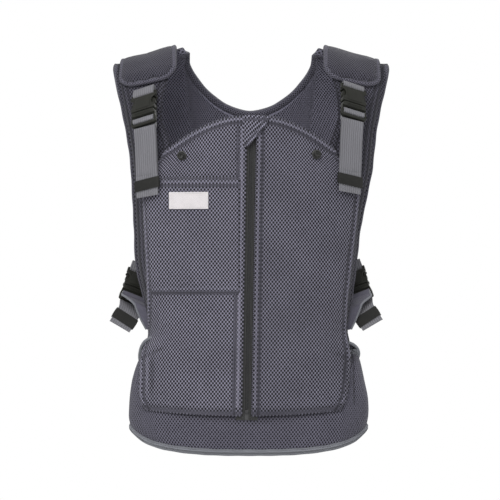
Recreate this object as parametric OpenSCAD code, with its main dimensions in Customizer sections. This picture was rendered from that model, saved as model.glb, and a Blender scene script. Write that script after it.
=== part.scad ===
// Vest-shaped soft baby carrier. Millimetres, +X to the viewer's right, -Y is the
// front, +Z up. The origin is the point midway between the shoulders that carry it.

/* [Fabric] */
// Thickness of the mesh cover on the back, straps and belt
cover_t = 2; // [1:0.5:3]
// Thickness of the foam core
foam_t = 6.5; // [4:0.5:9]
// Thickness of the inner lining mesh
lining_t = 1.5; // [1:0.5:2]
// Thickness of the two front overlay panels
panel_t = 3; // [2:0.5:4]
// Thickness of the pocket panel
pocket_t = 1.8; // [1:0.2:2.4]
// Air left between pieces that lie on each other
gap = 0.4; // [0.3:0.1:0.6]

/* [Torso] */
// Depth of the front edge of the side openings in front of the shoulders
edge_front = 38; // [30:1:44]
// Depth of the back edge of the side openings behind the shoulders
edge_back = 20; // [10:1:30]
// How far the back panel stands behind the shoulders
back_depth = 95; // [85:1:105]
// Height where the straps start to curve over the shoulder
arch_z = -130; // [-150:1:-120]
// Depth of the top of the shoulder
apex_y = 8; // [0:1:15]

/* [Shoulder pads] */
// Thickness of a shoulder pad in its middle
pad_t = 11; // [8:1:14]
// Distance of the pad's neck side from the centre
pad_in = 97; // [94:1:100]
// Distance of the pad's outer side from the centre
pad_out = 168; // [164:1:170]

/* [Zipper] */
// Width of zipper left showing between the front panels
zip_show = 14.5; // [12:0.5:16]
// Width of one zipper tape
tape_w = 11.5; // [9:0.5:13]
// Width of the closed coil
coil_w = 4.4; // [4:0.2:5]
// Length of the slider
slider_l = 12; // [10:0.5:13]
// Length of the pull tab
pull_l = 22; // [18:1:24]

/* [Webbing and buckles] */
// Width of the webbing
web_w = 30; // [25:1:30]
// Thickness of the webbing
web_t = 1.5; // [1:0.1:1.6]
// Width over a buckle
buckle_w = 36; // [35:0.5:38]
// Thickness of a buckle socket
buckle_t = 10; // [9:0.5:11]

/* [Trim] */
// Radius of a snap socket's rim
snap_r = 6.2; // [5.5:0.1:7]
// Radius of the snap socket's bore
snap_bore_r = 2.1; // [1.8:0.1:2.4]
// Depth of the snap socket's bore
snap_bore_l = 3; // [2:0.2:3.2]
// Width of the blank label
label_w = 49; // [40:1:52]
// Height of the blank label
label_h = 21.5; // [18:0.5:24]

/* [Hidden] */

// Colours of the fabrics and plastics
mesh_grey = [0.38, 0.37, 0.42];
dark_mesh = [0.26, 0.25, 0.29];
foam_grey = [0.55, 0.55, 0.58];
bind_grey = [0.42, 0.42, 0.45];
web_grey = [0.48, 0.47, 0.5];
black = [0.2, 0.2, 0.19];
tape_black = [0.23, 0.23, 0.23];
label_white = [0.93, 0.9, 0.91];

LEFT = -1;
RIGHT = 1;
pad_layers = cover_t + foam_t + lining_t;

// Half width of the outline by height, on the left and on the right
left_w = [
    [16, 178], [3, 178], [-12, 177], [-44, 170], [-78, 163], [-109, 158], [-135, 155.5],
    [-174, 153.5], [-213, 151.5], [-252, 150.5], [-275, 146.5], [-304, 139], [-352, 128.5],
    [-366, 138], [-378, 144],
    [-390, 149], [-410, 155], [-430, 158], [-459, 159], [-475, 157], [-507, 150]
];
right_w = [
    [16, 181], [3, 181], [-12, 180], [-44, 172.5], [-78, 166], [-109, 162.5], [-135, 160],
    [-174, 152], [-213, 144], [-252, 140], [-304, 134], [-346, 126], [-366, 138], [-378, 143],
    [-404, 149], [-430, 154.5], [-451, 155.5], [-475, 153.5], [-507, 147]
];
// Half width of the back panel by height
back_w = [
    [16, 174], [-10, 168], [-57, 158], [-109, 144], [-174, 136], [-250, 132], [-340, 130],
    [-395, 142]
];
// Depth of the front along the centre line by height
front_d = [[-60, 86], [-450, 100], [-475, 99], [-507, 95]];
// Distance of the strap's inner edge from the centre by height
strap_in = [[16, 98], [-5, 104], [-40, 115], [-72, 117], [-104, 104], [-200, 108], [-352, 112]];
// Distance of a front panel's outer edge from the centre by height
panel_left = [
    [-60, 112], [-114, 112], [-140, 133], [-165, 139.5], [-304, 130], [-352, 127.5],
    [-378, 138], [-430, 139], [-447, 131]
];
panel_right = [
    [-60, 108], [-114, 108], [-140, 133], [-165, 141], [-304, 127], [-346, 125],
    [-376, 132.5], [-430, 129], [-447, 121]
];
strap_low = -350;
back_low = -395;
panel_low = -454;
bend_share = 0.6;

// Clearance between the front surface and a front panel, and height of the panel's outer side
panel_rise = 0.8;
panel_out = panel_rise + panel_t + gap;

// Neckline: half width, height of its ends and its drop
neck_half_w = 88.5;
neck_x = 1;
neck_end_z = 30;
neck_drop = 89;

// Zipper line, on the front surface
zip_top = [2.3, -86.2, -66];
zip_end = [-4.3, -100, -452];
slider_top = 3;
garage_w = 34;
garage_h = 38;

// Shoulder and side buckles: middle of the bar, way down the strap, and across it
shoulder_bar = [138, -58.6, -36];
shoulder_down = [0, -0.574, -0.819];
shoulder_across = [0.89, -0.39, 0.2733];
side_bar = [144, 8, -269];
side_down = [0.236, -0.58, -0.78];
side_across = [0.93, 0.12, -0.37];
right_shoulder_lift = 9;
right_web_lift = 5;
right_shoulder_in = 3.5;
right_side_lift = 2;
right_side_in = 10;

// Buckle lengths, measured down the strap from the middle of the socket's bar
bar_half = 1.5;
socket_top = 4;
socket_end = 28;
cavity_w = 29;
cavity_t = 6.4;
window_top = 9;
window_end = 21;
plug_gap = 0.4;
base_l = 7;
ladder_t = 5;
ladder_end = 50;
arm_pivot = 9.5;

// ---------------------------------------------------------------- helpers

function mix(a, b, t) = a + (b - a) * t;
function unit(v) = v / norm(v);
function flat(list) = [for (row = list) for (p = row) p];

// The point of surface f at (u, v), moved along the outward normal by o
function lifted(f, u, v, o) =
    let (e = 0.02,
         du = f(min(u + e, 1), v) - f(max(u - e, 0), v),
         dv = f(u, min(v + e, 1)) - f(u, max(v - e, 0)))
    f(u, v) + o * unit(cross(du, dv));

// Section loops of a sheet between two offsets from surface f
function slab(f, nu, nv, low, high, h = function(u, v) 1) =
    [for (i = [0:nv])
        concat(
            [for (j = [0:nu]) lifted(f, j / nu, i / nv, high * h(j / nu, i / nv))],
            [for (j = [nu:-1:0]) lifted(f, j / nu, i / nv, low * h(j / nu, i / nv))])];

// Section loops of a flat strip along a path, one across direction for each point
function ribbon(path, across, width, thick) =
    let (last = len(path) - 1)
    [for (i = [0:last])
        let (along = unit(path[min(i + 1, last)] - path[max(i - 1, 0)]),
             a = unit(across[i]) * width / 2,
             n = unit(cross(along, unit(across[i]))) * thick / 2)
        [path[i] - a - n, path[i] + a - n, path[i] + a + n, path[i] - a + n]];

// One elliptical section loop in the plane of directions a and b
function oval(centre, a, b, ra, rb, n = 8) =
    [for (k = [0:n - 1])
        centre + unit(a) * ra * cos(360 * k / n) + unit(b) * rb * sin(360 * k / n)];

function loft_faces(rings, m, wrap) =
    let (last = wrap ? rings : rings - 1)
    concat(
        [for (i = [0:last - 1]) for (j = [0:m - 1])
            let (a = i * m + j, b = i * m + (j + 1) % m,
                 c = ((i + 1) % rings) * m + (j + 1) % m, d = ((i + 1) % rings) * m + j)
            each (j < m / 2 ? [[a, b, c], [a, c, d]] : [[a, b, d], [b, c, d]])],
        wrap ? [] : [for (end = [0, rings - 1]) for (j = [0:m / 2 - 2])
            let (o = end * m, a = o + j, b = o + j + 1, c = o + m - 2 - j, d = o + m - 1 - j)
            each (end == 0 ? [[a, c, b], [a, d, c]] : [[a, b, c], [a, c, d]])]);

function volume_sign(p, faces) =
    let (v = [for (f = faces) p[f[0]] * cross(p[f[1]], p[f[2]])])
    sign(v * [for (f = faces) 1]);

// A closed solid through section loops with the same number of points
module loft(loops, wrap = false) {
    p = flat(loops);
    faces = loft_faces(len(loops), len(loops[0]), wrap);
    turned = volume_sign(p, faces) > 0 ? [for (f = faces) [f[0], f[2], f[1]]] : faces;
    polyhedron(points = p, faces = turned, convexity = 6);
}

// Puts children in a frame with Z up the strap, X across it and Y towards the wearer
module in_frame(origin, down, across) {
    z = -unit(down);
    y = unit(cross(z, across));
    x = cross(y, z);
    multmatrix([
        [x[0], y[0], z[0], origin[0]],
        [x[1], y[1], z[1], origin[1]],
        [x[2], y[2], z[2], origin[2]],
        [0, 0, 0, 1]
    ]) children();
}

// Puts children at a point with Z along a level or tilted direction
module facing(origin, out) {
    x = unit(cross([0, 0, 1], out));
    y = cross(out, x);
    multmatrix([
        [x[0], y[0], out[0], origin[0]],
        [x[1], y[1], out[1], origin[1]],
        [x[2], y[2], out[2], origin[2]],
        [0, 0, 0, 1]
    ]) children();
}

// ---------------------------------------------------------------- surfaces

function half_w(side, z) = lookup(z, side < 0 ? left_w : right_w);
// Height of the shoulder's top: flat at its outer end, rising to the neck
function apex_z(x) = 6 + 24 * pow(min(1, max(0, 175 - abs(x)) / 88), 1.9);
function round_off(r) = pow(max(0, 1 - pow(min(1, r), 3)), 0.55);
function front_y(r, z) = -edge_front - (lookup(z, front_d) - edge_front) * round_off(r);
function back_y(r) = edge_back + (back_depth - edge_back) * round_off(r);
function front_pt(x, z) = [x, front_y(abs(x) / half_w(x, z), z), z];
function zip_x(z) = mix(zip_top[0], zip_end[0], (zip_top[2] - z) / (zip_top[2] - zip_end[2]));

// Point over a shoulder at share t of the quarter turn up to the top, from y0 at arch_z
function arch_pt(x, y0, t) =
    arch_from(x, y0, t, apex_y);
function arch_from(x, y0, t, top_y) =
    [x, top_y + (y0 - top_y) * cos(90 * t), arch_z + (apex_z(x) - arch_z) * sin(90 * t)];
function arch_level(t) = arch_z + (apex_z(140) - arch_z) * sin(90 * t);

// A strap, v from its lower end to the top of the shoulder
function strap_pt(side, q, v) =
    let (bent = v > bend_share,
         t = min(0.99, (v - bend_share) / (1 - bend_share)),
         z = bent ? arch_level(t) : mix(strap_low, arch_z, v / bend_share),
         w = half_w(side, z),
         d = mix(w, lookup(z, strap_in), q))
    bent ? arch_pt(side * d, front_y(d / w, arch_z), t) : [side * d, front_y(d / w, z), z];
strap_left = function(u, v) strap_pt(LEFT, u, v);
strap_right = function(u, v) strap_pt(RIGHT, 1 - u, v);

// The back panel, u from the right to the left, v up to the neckline or the shoulder
back_columns = [
    [0, 1], [0.16, 0.56], [0.32, 0.4], [0.5, 0], [0.68, -0.4], [0.84, -0.56], [1, -1]
];
function neck_z(x) =
    neck_end_z - neck_drop * pow(max(0, 1 - pow(min(1, abs(x - neck_x) / neck_half_w), 1.85)), 0.54);
back_shift = 5.4;
function back_low_at(r) = back_low + 32 * pow(max(0, (r - 0.72) / 0.28), 1.6);
function neck_turn(c) =
    let (z = neck_z(c * 165))
    asin(min(0.99, (z - arch_z) / (apex_z(0) - arch_z))) / 90;
function back_pt(c, v) =
    let (p = v * (bend_share + (1 - bend_share) * min(0.99, neck_turn(c))),
         bent = p > bend_share,
         t = (p - bend_share) / (1 - bend_share),
         z = bent ? arch_level(t) : mix(back_low_at(abs(c)), arch_z, p / bend_share),
         x = c * lookup(z, back_w))
    bent ? arch_from(x, back_y(abs(c)), t, apex_y + back_shift) : [x, back_y(abs(c)), z];
back_surface = function(u, v) back_pt(lookup(u, back_columns), v);

// A front panel, q from the zipper to its outer edge, v from the belt to its top edge
function panel_top(d) = -66 - 50 * pow(max(0, d - 17) / 100, 1.7);
function panel_base(d) = panel_low + 10 * pow(d / 131, 2);
function panel_pt(side, across, v) =
    let (q = 1 - pow(1 - across, 1.3),
         d0 = zip_show / 2,
         out = side < 0 ? panel_left : panel_right,
         dt = mix(d0, lookup(-60, out), q),
         z = mix(panel_base(dt), panel_top(dt), v))
    front_pt(zip_x(z) + side * mix(d0, lookup(z, out), q), z);
panel_surface_left = function(u, v) panel_pt(LEFT, 1 - u, v);
panel_surface_right = function(u, v) panel_pt(RIGHT, u, v);

// The pocket lies on the left front panel
pocket_surface = function(u, v)
    let (z = mix(-296, -146, v))
    front_pt(mix(-lookup(z, panel_left) + 4, -13.5, u), z);

label_surface = function(u, v) front_pt(mix(-78.5 - label_w / 2, -78.5 + label_w / 2, u),
    mix(-175 - label_h / 2, -175 + label_h / 2, v));

// The belt, a running once around from the left side over the front, v from hem to top
hem_front = function(c) -501 + 18 * pow(c, 3) + 14 * pow(c, 14);
hem_back = function(c) -471 + 2 * pow(c, 4);
belt_top_front = [[0, -457], [0.3, -453], [0.6, -447], [0.78, -438], [0.9, -385], [1, -374]];
belt_top_back = [[0, -395.6], [0.66, -395.6], [0.74, -400], [0.93, -400], [1, -374]];
function belt_pt(a, v) =
    let (turn = 360 * (a - floor(a)),
         front = turn < 180,
         c = sin(front ? turn - 90 : turn - 270),
         low = front ? hem_front(abs(c)) : hem_back(abs(c)),
         high = lookup(abs(c), front ? belt_top_front : belt_top_back),
         z = mix(low, high, v),
         x = (front ? c : -c) * half_w(front ? c : -c, z))
    [x, front ? front_y(abs(c), z) : back_y(abs(c)), z];

// Outward direction of the belt, level
function belt_out(a, v) =
    let (d = belt_pt(a + 0.004, v) - belt_pt(a - 0.004, v))
    unit([d[1], -d[0], 0]);

function belt_loops(steps, rows, low, high) =
    [for (k = [0:steps - 1])
        let (a = (k + 0.5) / steps)
        concat(
            [for (j = [0:rows]) belt_pt(a, j / rows) + high * belt_out(a, j / rows)],
            [for (j = [rows:-1:0]) belt_pt(a, j / rows) + low * belt_out(a, j / rows)])];

// A shoulder pad, q from its outer to its neck side, v from its front end to its back end
pad_end = 0.55;
pad_back_w = 170;
function pad_pt(side, q, v) =
    let (turn = mix(-1, 1, v),
         t = 1 - abs(turn) * (1 - pad_end),
         z = arch_level(t),
         d = mix(pad_out, pad_in, q),
         w = half_w(side, z),
         y0 = turn < 0 ? front_y(d / w, arch_z) : back_y(d / pad_back_w))
    arch_from(side * d, y0, t, apex_y + back_shift * v);
pad_surface_left = function(u, v) pad_pt(LEFT, u, v);
pad_surface_right = function(u, v) pad_pt(RIGHT, 1 - u, v);
pad_crown = function(u, v)
    0.6 + 0.4 * (1 - pow(abs(2 * u - 1), 4)) * (1 - pow(abs(2 * v - 1), 6));

// ---------------------------------------------------------------- padded pieces

module back_cover() {
    color(mesh_grey) loft(slab(back_surface, 26, 12, -cover_t, 0));
}

module back_foam() {
    color(foam_grey) loft(slab(back_surface, 26, 12, -cover_t - foam_t, -cover_t));
}

module back_lining() {
    color(dark_mesh) loft(slab(back_surface, 26, 12, -pad_layers, -cover_t - foam_t));
}

module strap_cover(surface) {
    color(mesh_grey) loft(slab(surface, 8, 20, -cover_t, 0));
}

module strap_foam(surface) {
    color(foam_grey) loft(slab(surface, 8, 20, -pad_layers, -cover_t));
}

module strap_cover_left() strap_cover(strap_left);
module strap_cover_right() strap_cover(strap_right);
module strap_foam_left() strap_foam(strap_left);
module strap_foam_right() strap_foam(strap_right);

module front_panel(surface) {
    color(mesh_grey) loft(slab(surface, 18, 14, panel_rise, panel_rise + panel_t));
}

module front_panel_left() front_panel(panel_surface_left);
module front_panel_right() front_panel(panel_surface_right);

pocket_low = panel_out;
module pocket_panel() {
    color(mesh_grey) loft(slab(pocket_surface, 14, 8, pocket_low, pocket_low + pocket_t));
}

label_low = pocket_low + pocket_t + gap;
module label() {
    color(label_white) loft(slab(label_surface, 6, 3, label_low, label_low + 0.5));
}

module belt_cover() {
    color(mesh_grey) loft(belt_loops(40, 5, -cover_t, 0), wrap = true);
}

module belt_foam() {
    color(foam_grey) loft(belt_loops(40, 5, -cover_t - foam_t, -cover_t), wrap = true);
}

module belt_lining() {
    color(dark_mesh) loft(belt_loops(40, 5, -pad_layers, -cover_t - foam_t), wrap = true);
}

pad_low = 0.8;
pad_mid = pad_t - cover_t;
module pad_cover(surface) {
    color(mesh_grey) loft(slab(surface, 8, 14, pad_mid, pad_t, pad_crown));
}

module pad_foam(surface) {
    color(foam_grey) loft(slab(surface, 8, 14, pad_low / 0.6, pad_mid, pad_crown));
}

module pad_cover_left() pad_cover(pad_surface_left);
module pad_cover_right() pad_cover(pad_surface_right);
module pad_foam_left() pad_foam(pad_surface_left);
module pad_foam_right() pad_foam(pad_surface_right);

// ---------------------------------------------------------------- bindings

// The middle of a sheet's edge, and the directions out of the edge and through the sheet
function edge_loop(f, u, v, du, dv, reach, ra, rb) =
    let (m = lifted(f, u, v, -pad_layers / 2),
         out = unit(f(u, v) - f(u - du, v - dv)),
         n = unit(lifted(f, u, v, 1) - f(u, v)))
    oval(m + out * reach, n, out, ra, rb);

bind_reach = 3.35;
bind_thick = 2.5;
bind_half = pad_layers / 2 + 0.6;

module armhole_bindings() {
    color(mesh_grey) {
        loft([for (i = [0:26]) edge_loop(strap_left, 0, i / 27 + 0.01, -0.02, 0,
            bind_reach, bind_half, bind_thick)]);
        loft([for (i = [0:26]) edge_loop(strap_right, 1, i / 27 + 0.01, 0.02, 0,
            bind_reach, bind_half, bind_thick)]);
    }
}

module neck_binding() {
    color(mesh_grey) loft([for (i = [0:24])
        edge_loop(back_surface, mix(0.25, 0.75, i / 24), 1, 0, 0.02,
            bind_reach, bind_half, bind_thick)]);
}

module hem_binding() {
    color(bind_grey) loft([for (k = [0:47])
        let (a = (k + 0.5) / 48)
        oval(belt_pt(a, 0) - belt_out(a, 0) * pad_layers / 2 - [0, 0, 3.3],
            belt_out(a, 0), [0, 0, 1], bind_half, 2.7)], wrap = true);
}

// The grey bound upper edge at each side of the belt
module side_binding(first, count) {
    loft([for (k = [0:count])
        let (a = first + k * 0.012)
        oval(belt_pt(a, 1) - belt_out(a, 1) * pad_layers / 2 + [0, 0, 3.4],
            belt_out(a, 1), [0, 0, 1], bind_half, 2.7)]);
}

module side_bindings() {
    color(bind_grey) {
        side_binding(0.442, 9);
        side_binding(0.954, 6);
    }
}

// ---------------------------------------------------------------- zipper

zip_down = zip_end - zip_top;
zip_len = norm(zip_down);
tape_t = 0.8;
coil_t = 2.4;
stop_l = 4;

module on_zipper() {
    in_frame(zip_top, zip_down, [1, 0, 0]) children();
}

module zip_tape(side) {
    color(tape_black) on_zipper()
        translate([side < 0 ? -coil_w / 2 - gap / 2 - tape_w : coil_w / 2 + gap / 2,
            gap, -zip_len])
            cube([tape_w, tape_t, zip_len]);
}

module zip_tape_left() zip_tape(LEFT);
module zip_tape_right() zip_tape(RIGHT);

module zip_coils() {
    coil_top = slider_top + 4;
    half = coil_w / 2;
    color(tape_black) on_zipper() for (x = [-half, 0.05])
        translate([x, gap + tape_t / 2 - coil_t / 2, -zip_len + stop_l + 1])
            cube([half - 0.05, coil_t, zip_len - stop_l - 1 - coil_top]);
}

// A box stop at the lower end, and a small stop on each tape above the slider
module zip_stops() {
    color(black) on_zipper() {
        translate([-coil_w / 2, gap + tape_t / 2 - 1.6, -zip_len + 0.5]) cube([coil_w, 3.2, stop_l]);
        for (x = [-4.6, 2.6]) translate([x, gap - 1.3, -2.4]) cube([2, 1.2, 2]);
    }
}

plate_w = 9;
plate_t = 1.2;
plate_y = gap + tape_t / 2 - coil_t / 2 - 0.3;
pull_pivot = [0, plate_y - plate_t - 1.2, -slider_top - 3];

module zip_slider() {
    color(black) on_zipper() translate([0, 0, -slider_top - slider_l]) {
        translate([-plate_w / 2, plate_y - plate_t, 0]) cube([plate_w, plate_t, slider_l]);
        translate([-plate_w / 2, plate_y + coil_t + 0.6, 0]) cube([plate_w, plate_t, slider_l]);
        translate([-1.2, plate_y - 0.1, slider_l - 3.4]) cube([2.4, coil_t + 0.8, 3.4]);
        for (side = [LEFT, RIGHT])
            translate([side * 2.5 - 0.6, plate_y - plate_t - 2, slider_l - 4.4])
                cube([1.2, 2.1, 2.8]);
        translate([0, plate_y - plate_t - 1.2, slider_l - 3]) rotate([0, 90, 0])
            cylinder(r = 0.5, h = 4, center = true, $fn = 24);
    }
}

module zip_pull() {
    color(black) on_zipper() translate(pull_pivot) difference() {
        union() {
            translate([-1.7, -0.75, -4]) cube([3.4, 1.5, 4.8]);
            translate([-3.6, -0.75, -pull_l]) cube([7.2, 1.5, pull_l - 3.5]);
        }
        rotate([0, 90, 0]) cylinder(r = 0.6, h = 12, center = true, $fn = 24);
        translate([-1.8, -2, -pull_l + 2.5]) cube([3.6, 4, 7]);
    }
}

// A three-cornered flap, sewn along its left side, that hides the slider
module zip_garage() {
    lift = panel_out + gap;
    color(mesh_grey) on_zipper() translate([-zip_show / 2 - 4, -lift, 0]) rotate([90, 0, 0])
        linear_extrude(height = 2) polygon([
            [0, 1], [garage_w - 1, 1], [garage_w, -2], [garage_w - 6, -12],
            [garage_w - 14, -22], [9, -garage_h], [0, -garage_h - 2]
        ]);
}

// ---------------------------------------------------------------- snaps

snap_spots = [[-88, -116.6], [86, -115]];

// A snap socket with its bore facing out of the panel
module snap_socket(x, z) {
    f = function(u, v) front_pt(x + (u - 0.5) * 8, z + (v - 0.5) * 8);
    base = lifted(f, 0.5, 0.5, panel_out + 0.2);
    out = unit(lifted(f, 0.5, 0.5, 1) - f(0.5, 0.5));
    height = snap_bore_l + 0.8;
    facing(base, out) difference() {
        union() {
            cylinder(r = snap_r, h = 1, $fn = 48);
            cylinder(r = snap_r - 1.2, h = height - 0.6, $fn = 48);
            cylinder(r = snap_bore_r + 1.3, h = height, $fn = 48);
        }
        translate([0, 0, height - snap_bore_l]) cylinder(r = snap_bore_r, h = 5, $fn = 48);
    }
}

module snap_sockets() {
    color(black) for (s = snap_spots) snap_socket(s[0], s[1]);
}

// ---------------------------------------------------------------- buckles

// Frame of a buckle: its bar's middle, its way down and across, for one side
function bar_at(kind, side) =
    kind == "shoulder"
        ? [side > 0 ? shoulder_bar[0] - right_shoulder_in : -shoulder_bar[0], shoulder_bar[1],
            shoulder_bar[2] + (side > 0 ? right_shoulder_lift : 0)]
        : on_side(side, side_bar);
function on_side(side, p) =
    [side > 0 ? p[0] - right_side_in : -p[0], p[1], p[2] + (side > 0 ? right_side_lift : 0)];
function down_at(kind, side) =
    let (d = kind == "shoulder" ? shoulder_down : side_down) [side * d[0], d[1], d[2]];
function across_at(kind, side) =
    let (a = kind == "shoulder" ? shoulder_across : side_across) [a[0], -side * a[1], -side * a[2]];

// A point of a buckle's frame, Z up the strap and Y towards the wearer
function spot(kind, side, x, y, z) =
    let (up = -unit(down_at(kind, side)),
         inward = unit(cross(up, across_at(kind, side))))
    bar_at(kind, side) + x * cross(inward, up) + y * inward + z * up;

module at_buckle(kind, side) {
    in_frame(bar_at(kind, side), down_at(kind, side), across_at(kind, side)) children();
}

// A plate of thickness t whose outline lies in the X-Z plane
module plate(t, points) {
    rotate([90, 0, 0]) linear_extrude(height = t, center = true) polygon(points);
}

// An outline given by its right half, from the top down
function both(half) =
    concat(half, [for (i = [len(half) - 1:-1:0]) [-half[i][0], half[i][1]]]);

module slot(z_high, z_low) {
    translate([-web_w / 2 - 0.6, -8, z_low]) cube([web_w + 1.2, 16, z_high - z_low]);
}

half_w_buckle = buckle_w / 2;

module socket(kind, side) {
    color(black) at_buckle(kind, side) {
        difference() {
            union() {
                plate(buckle_t, both([
                    [half_w_buckle - 1, -5], [half_w_buckle, -7], [half_w_buckle - 0.2, -9],
                    [half_w_buckle - 2, -14], [half_w_buckle - 2, -18],
                    [half_w_buckle - 0.8, -22], [half_w_buckle - 1, -27],
                    [half_w_buckle - 2.5, -socket_end]
                ]));
                for (s = [LEFT, RIGHT])
                    translate([s * (half_w_buckle - 1.2) - 1.2, -bar_half, -6])
                        cube([2.4, 2 * bar_half, 6]);
            }
            translate([-cavity_w / 2, -cavity_t / 2, -socket_end - 1])
                cube([cavity_w, cavity_t, socket_end + 1 - 8]);
            translate([-half_w_buckle - 1, -cavity_t / 2, -window_end])
                cube([buckle_w + 2, cavity_t, window_end - window_top]);
        }
        translate([-half_w_buckle, 0, 0]) rotate([0, 90, 0])
            cylinder(r = bar_half, h = buckle_w, $fn = 32);
    }
}

module plug(kind, side) {
    base_top = -socket_end - plug_gap;
    base_low = base_top - base_l;
    color(black) at_buckle(kind, side) {
        plate(buckle_t - 1, both([
            [half_w_buckle - 3, base_top], [half_w_buckle - 1.5, base_top - 1.5],
            [half_w_buckle - 1, base_low]
        ]));
        plate(4, both([[1.2, -10], [2.2, -12], [2.2, base_top - 1]]));
        difference() {
            plate(ladder_t, both([
                [half_w_buckle - 0.5, base_low + 0.1], [half_w_buckle, -40],
                [half_w_buckle, -48.5], [half_w_buckle - 1.5, -ladder_end]
            ]));
            slot(-36, -39.5);
            slot(-43, -46.5);
            for (y = [-4, 1])
                translate([-web_w / 2 - 0.6, y, -43.1]) cube([web_w + 1.2, 3, 3.7]);
        }
    }
}

// One spring arm with its press tab, at its pivot beside the plug's base
module arm(kind, side, s) {
    color(black) at_buckle(kind, side) plate(5, [for (p = [
        [7.6, -28], [11.4, -28], [12.8, -21.6], [16.6, -20.3], [17.4, -17], [16.3, -12],
        [13.6, -9.9], [11, -9.9], [9.4, -13]
    ]) [s * p[0], p[1]]]);
}

module socket_shoulder_left() socket("shoulder", LEFT);
module socket_shoulder_right() socket("shoulder", RIGHT);
module socket_side_left() socket("side", LEFT);
module socket_side_right() socket("side", RIGHT);
module plug_shoulder_left() plug("shoulder", LEFT);
module plug_shoulder_right() plug("shoulder", RIGHT);
module plug_side_left() plug("side", LEFT);
module plug_side_right() plug("side", RIGHT);
module arm_shoulder_left_a() arm("shoulder", LEFT, -1);
module arm_shoulder_left_b() arm("shoulder", LEFT, 1);
module arm_shoulder_right_a() arm("shoulder", RIGHT, -1);
module arm_shoulder_right_b() arm("shoulder", RIGHT, 1);
module arm_side_left_a() arm("side", LEFT, -1);
module arm_side_left_b() arm("side", LEFT, 1);
module arm_side_right_a() arm("side", RIGHT, -1);
module arm_side_right_b() arm("side", RIGHT, 1);

// ---------------------------------------------------------------- webbing

// A strip of webbing through points, turning from one across direction to another
module web(points, first, final, width = web_w) {
    last = len(points) - 1;
    loft(ribbon(points, [for (i = [0:last]) mix(unit(first), unit(final), i / last)],
        width, web_t));
}

// The loop sewn into the vest that holds a socket by its bar
module bar_loop(kind, side, reach) {
    r = bar_half + gap + web_t / 2;
    ring = [for (k = [0:8]) [-r * cos(180 * k / 8), -r * sin(180 * k / 8)]];
    line = concat([[-1, reach], [-r, reach * 0.4]], ring, [[r, reach * 0.4], [1, reach]]);
    across = across_at(kind, side);
    web([for (p = line) spot(kind, side, 0, p[0], p[1])], across, across);
}

module shoulder_loops() {
    color(web_grey) for (side = [LEFT, RIGHT]) bar_loop("shoulder", side, side > 0 ? 5 : 10);
}

module side_loops() {
    color(web_grey) for (side = [LEFT, RIGHT]) bar_loop("side", side, 13);
}

// The tail's way through the ladder: over the middle bar and behind the lower bar
tail_ladder = [
    [-0.2, -37.8], [-2.3, -39.2], [-2.2, -43.6], [0.6, -44.8], [3.6, -45.8], [3.9, -50.6],
    [1.6, -53.8]
];
anchor_ladder = [[3.4, -41], [6, -45.5], [6.3, -50.5], [5, -55]];

// Height of the webbing in front of a front panel, clear of the panel's curve
function web_y(side, z) =
    front_pt(side * 117, z)[1] - panel_out / 0.85 - web_t - 1 + 5;
function web_at(side, d, lift, z) =
    [side > 0 ? d - right_shoulder_in : -d, web_y(side, z) - lift, z];
fold_gap = 2.2;
tail_lift = 4.4;
lower_across = [0.93, 0.33, -0.15];
function low_across(side) = [lower_across[0], side * lower_across[1], side * lower_across[2]];

module anchor_shoulder(side) {
    lift_z = side > 0 ? right_web_lift : 0;
    color(web_grey) web(concat(
        [for (p = anchor_ladder) spot("shoulder", side, 0, p[0], p[1])],
        [web_at(side, 135, 1, -100 + lift_z), web_at(side, 134, 0, -125 + lift_z),
            web_at(side, 133, 0, -158 + lift_z)]),
        across_at("shoulder", side), low_across(side));
}

module tail_shoulder(side) {
    lift_z = side > 0 ? right_web_lift : 0;
    color(web_grey) web(concat(
        [for (p = tail_ladder) spot("shoulder", side, 0, p[0], p[1])],
        [web_at(side, 136, tail_lift + 4, -97 + lift_z),
            web_at(side, 135, tail_lift + 1, -125 + lift_z),
            web_at(side, 134, tail_lift, -148 + lift_z),
            web_at(side, 133.5, tail_lift, -170 + lift_z),
            web_at(side, 133.5, tail_lift + fold_gap / 2, -171.5 + lift_z),
            web_at(side, 133.5, tail_lift + fold_gap, -170 + lift_z),
            web_at(side, 134, tail_lift + fold_gap, -142 + lift_z)]),
        across_at("shoulder", side), low_across(side));
}

// An elastic band around a folded tail: a flat ring along z in the tail's frame
module keeper(middle, down, across) {
    wide = web_w + 1;
    deep = fold_gap + web_t + 0.8;
    color(black) in_frame(middle, down, across) translate([0, 0, -7])
        linear_extrude(height = 14) difference() {
            square([wide + 2, deep + 2], center = true);
            square([wide, deep], center = true);
        }
}

module keeper_shoulder(side) {
    lift_z = side > 0 ? right_web_lift : 0;
    z = -155 + lift_z;
    middle = web_at(side, 133.8, tail_lift + fold_gap / 2, z);
    keeper(middle, web_at(side, 133.5, tail_lift, z - 10) - web_at(side, 134.1, tail_lift, z + 10),
        low_across(side));
}

side_low_across = [0.84, 0, -0.545];
function side_tail_across(side) = [side_low_across[0], 0, -side * side_low_across[2]];
side_mid = [164, -36.5, -329];
side_hang = unit([10.3, -4.5, -16]);
side_front = unit(cross(side_hang, side_tail_across(RIGHT)));
side_tail_line = [
    for (p = [[-1, -10], [-1, 10], [0, 11.5], [1, 10], [1, -9]])
        side_mid + p[0] * fold_gap / 2 * side_front + p[1] * side_hang
];

module tail_side(side) {
    color(web_grey) web(concat(
        [for (p = tail_ladder) spot("side", side, 0, p[0], p[1])],
        [for (p = side_tail_line) on_side(side, p)]),
        across_at("side", side), side_tail_across(side));
}

module keeper_side(side) {
    keeper(on_side(side, side_mid), [side * side_hang[0], side_hang[1], side_hang[2]],
        side_tail_across(side));
}

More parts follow.
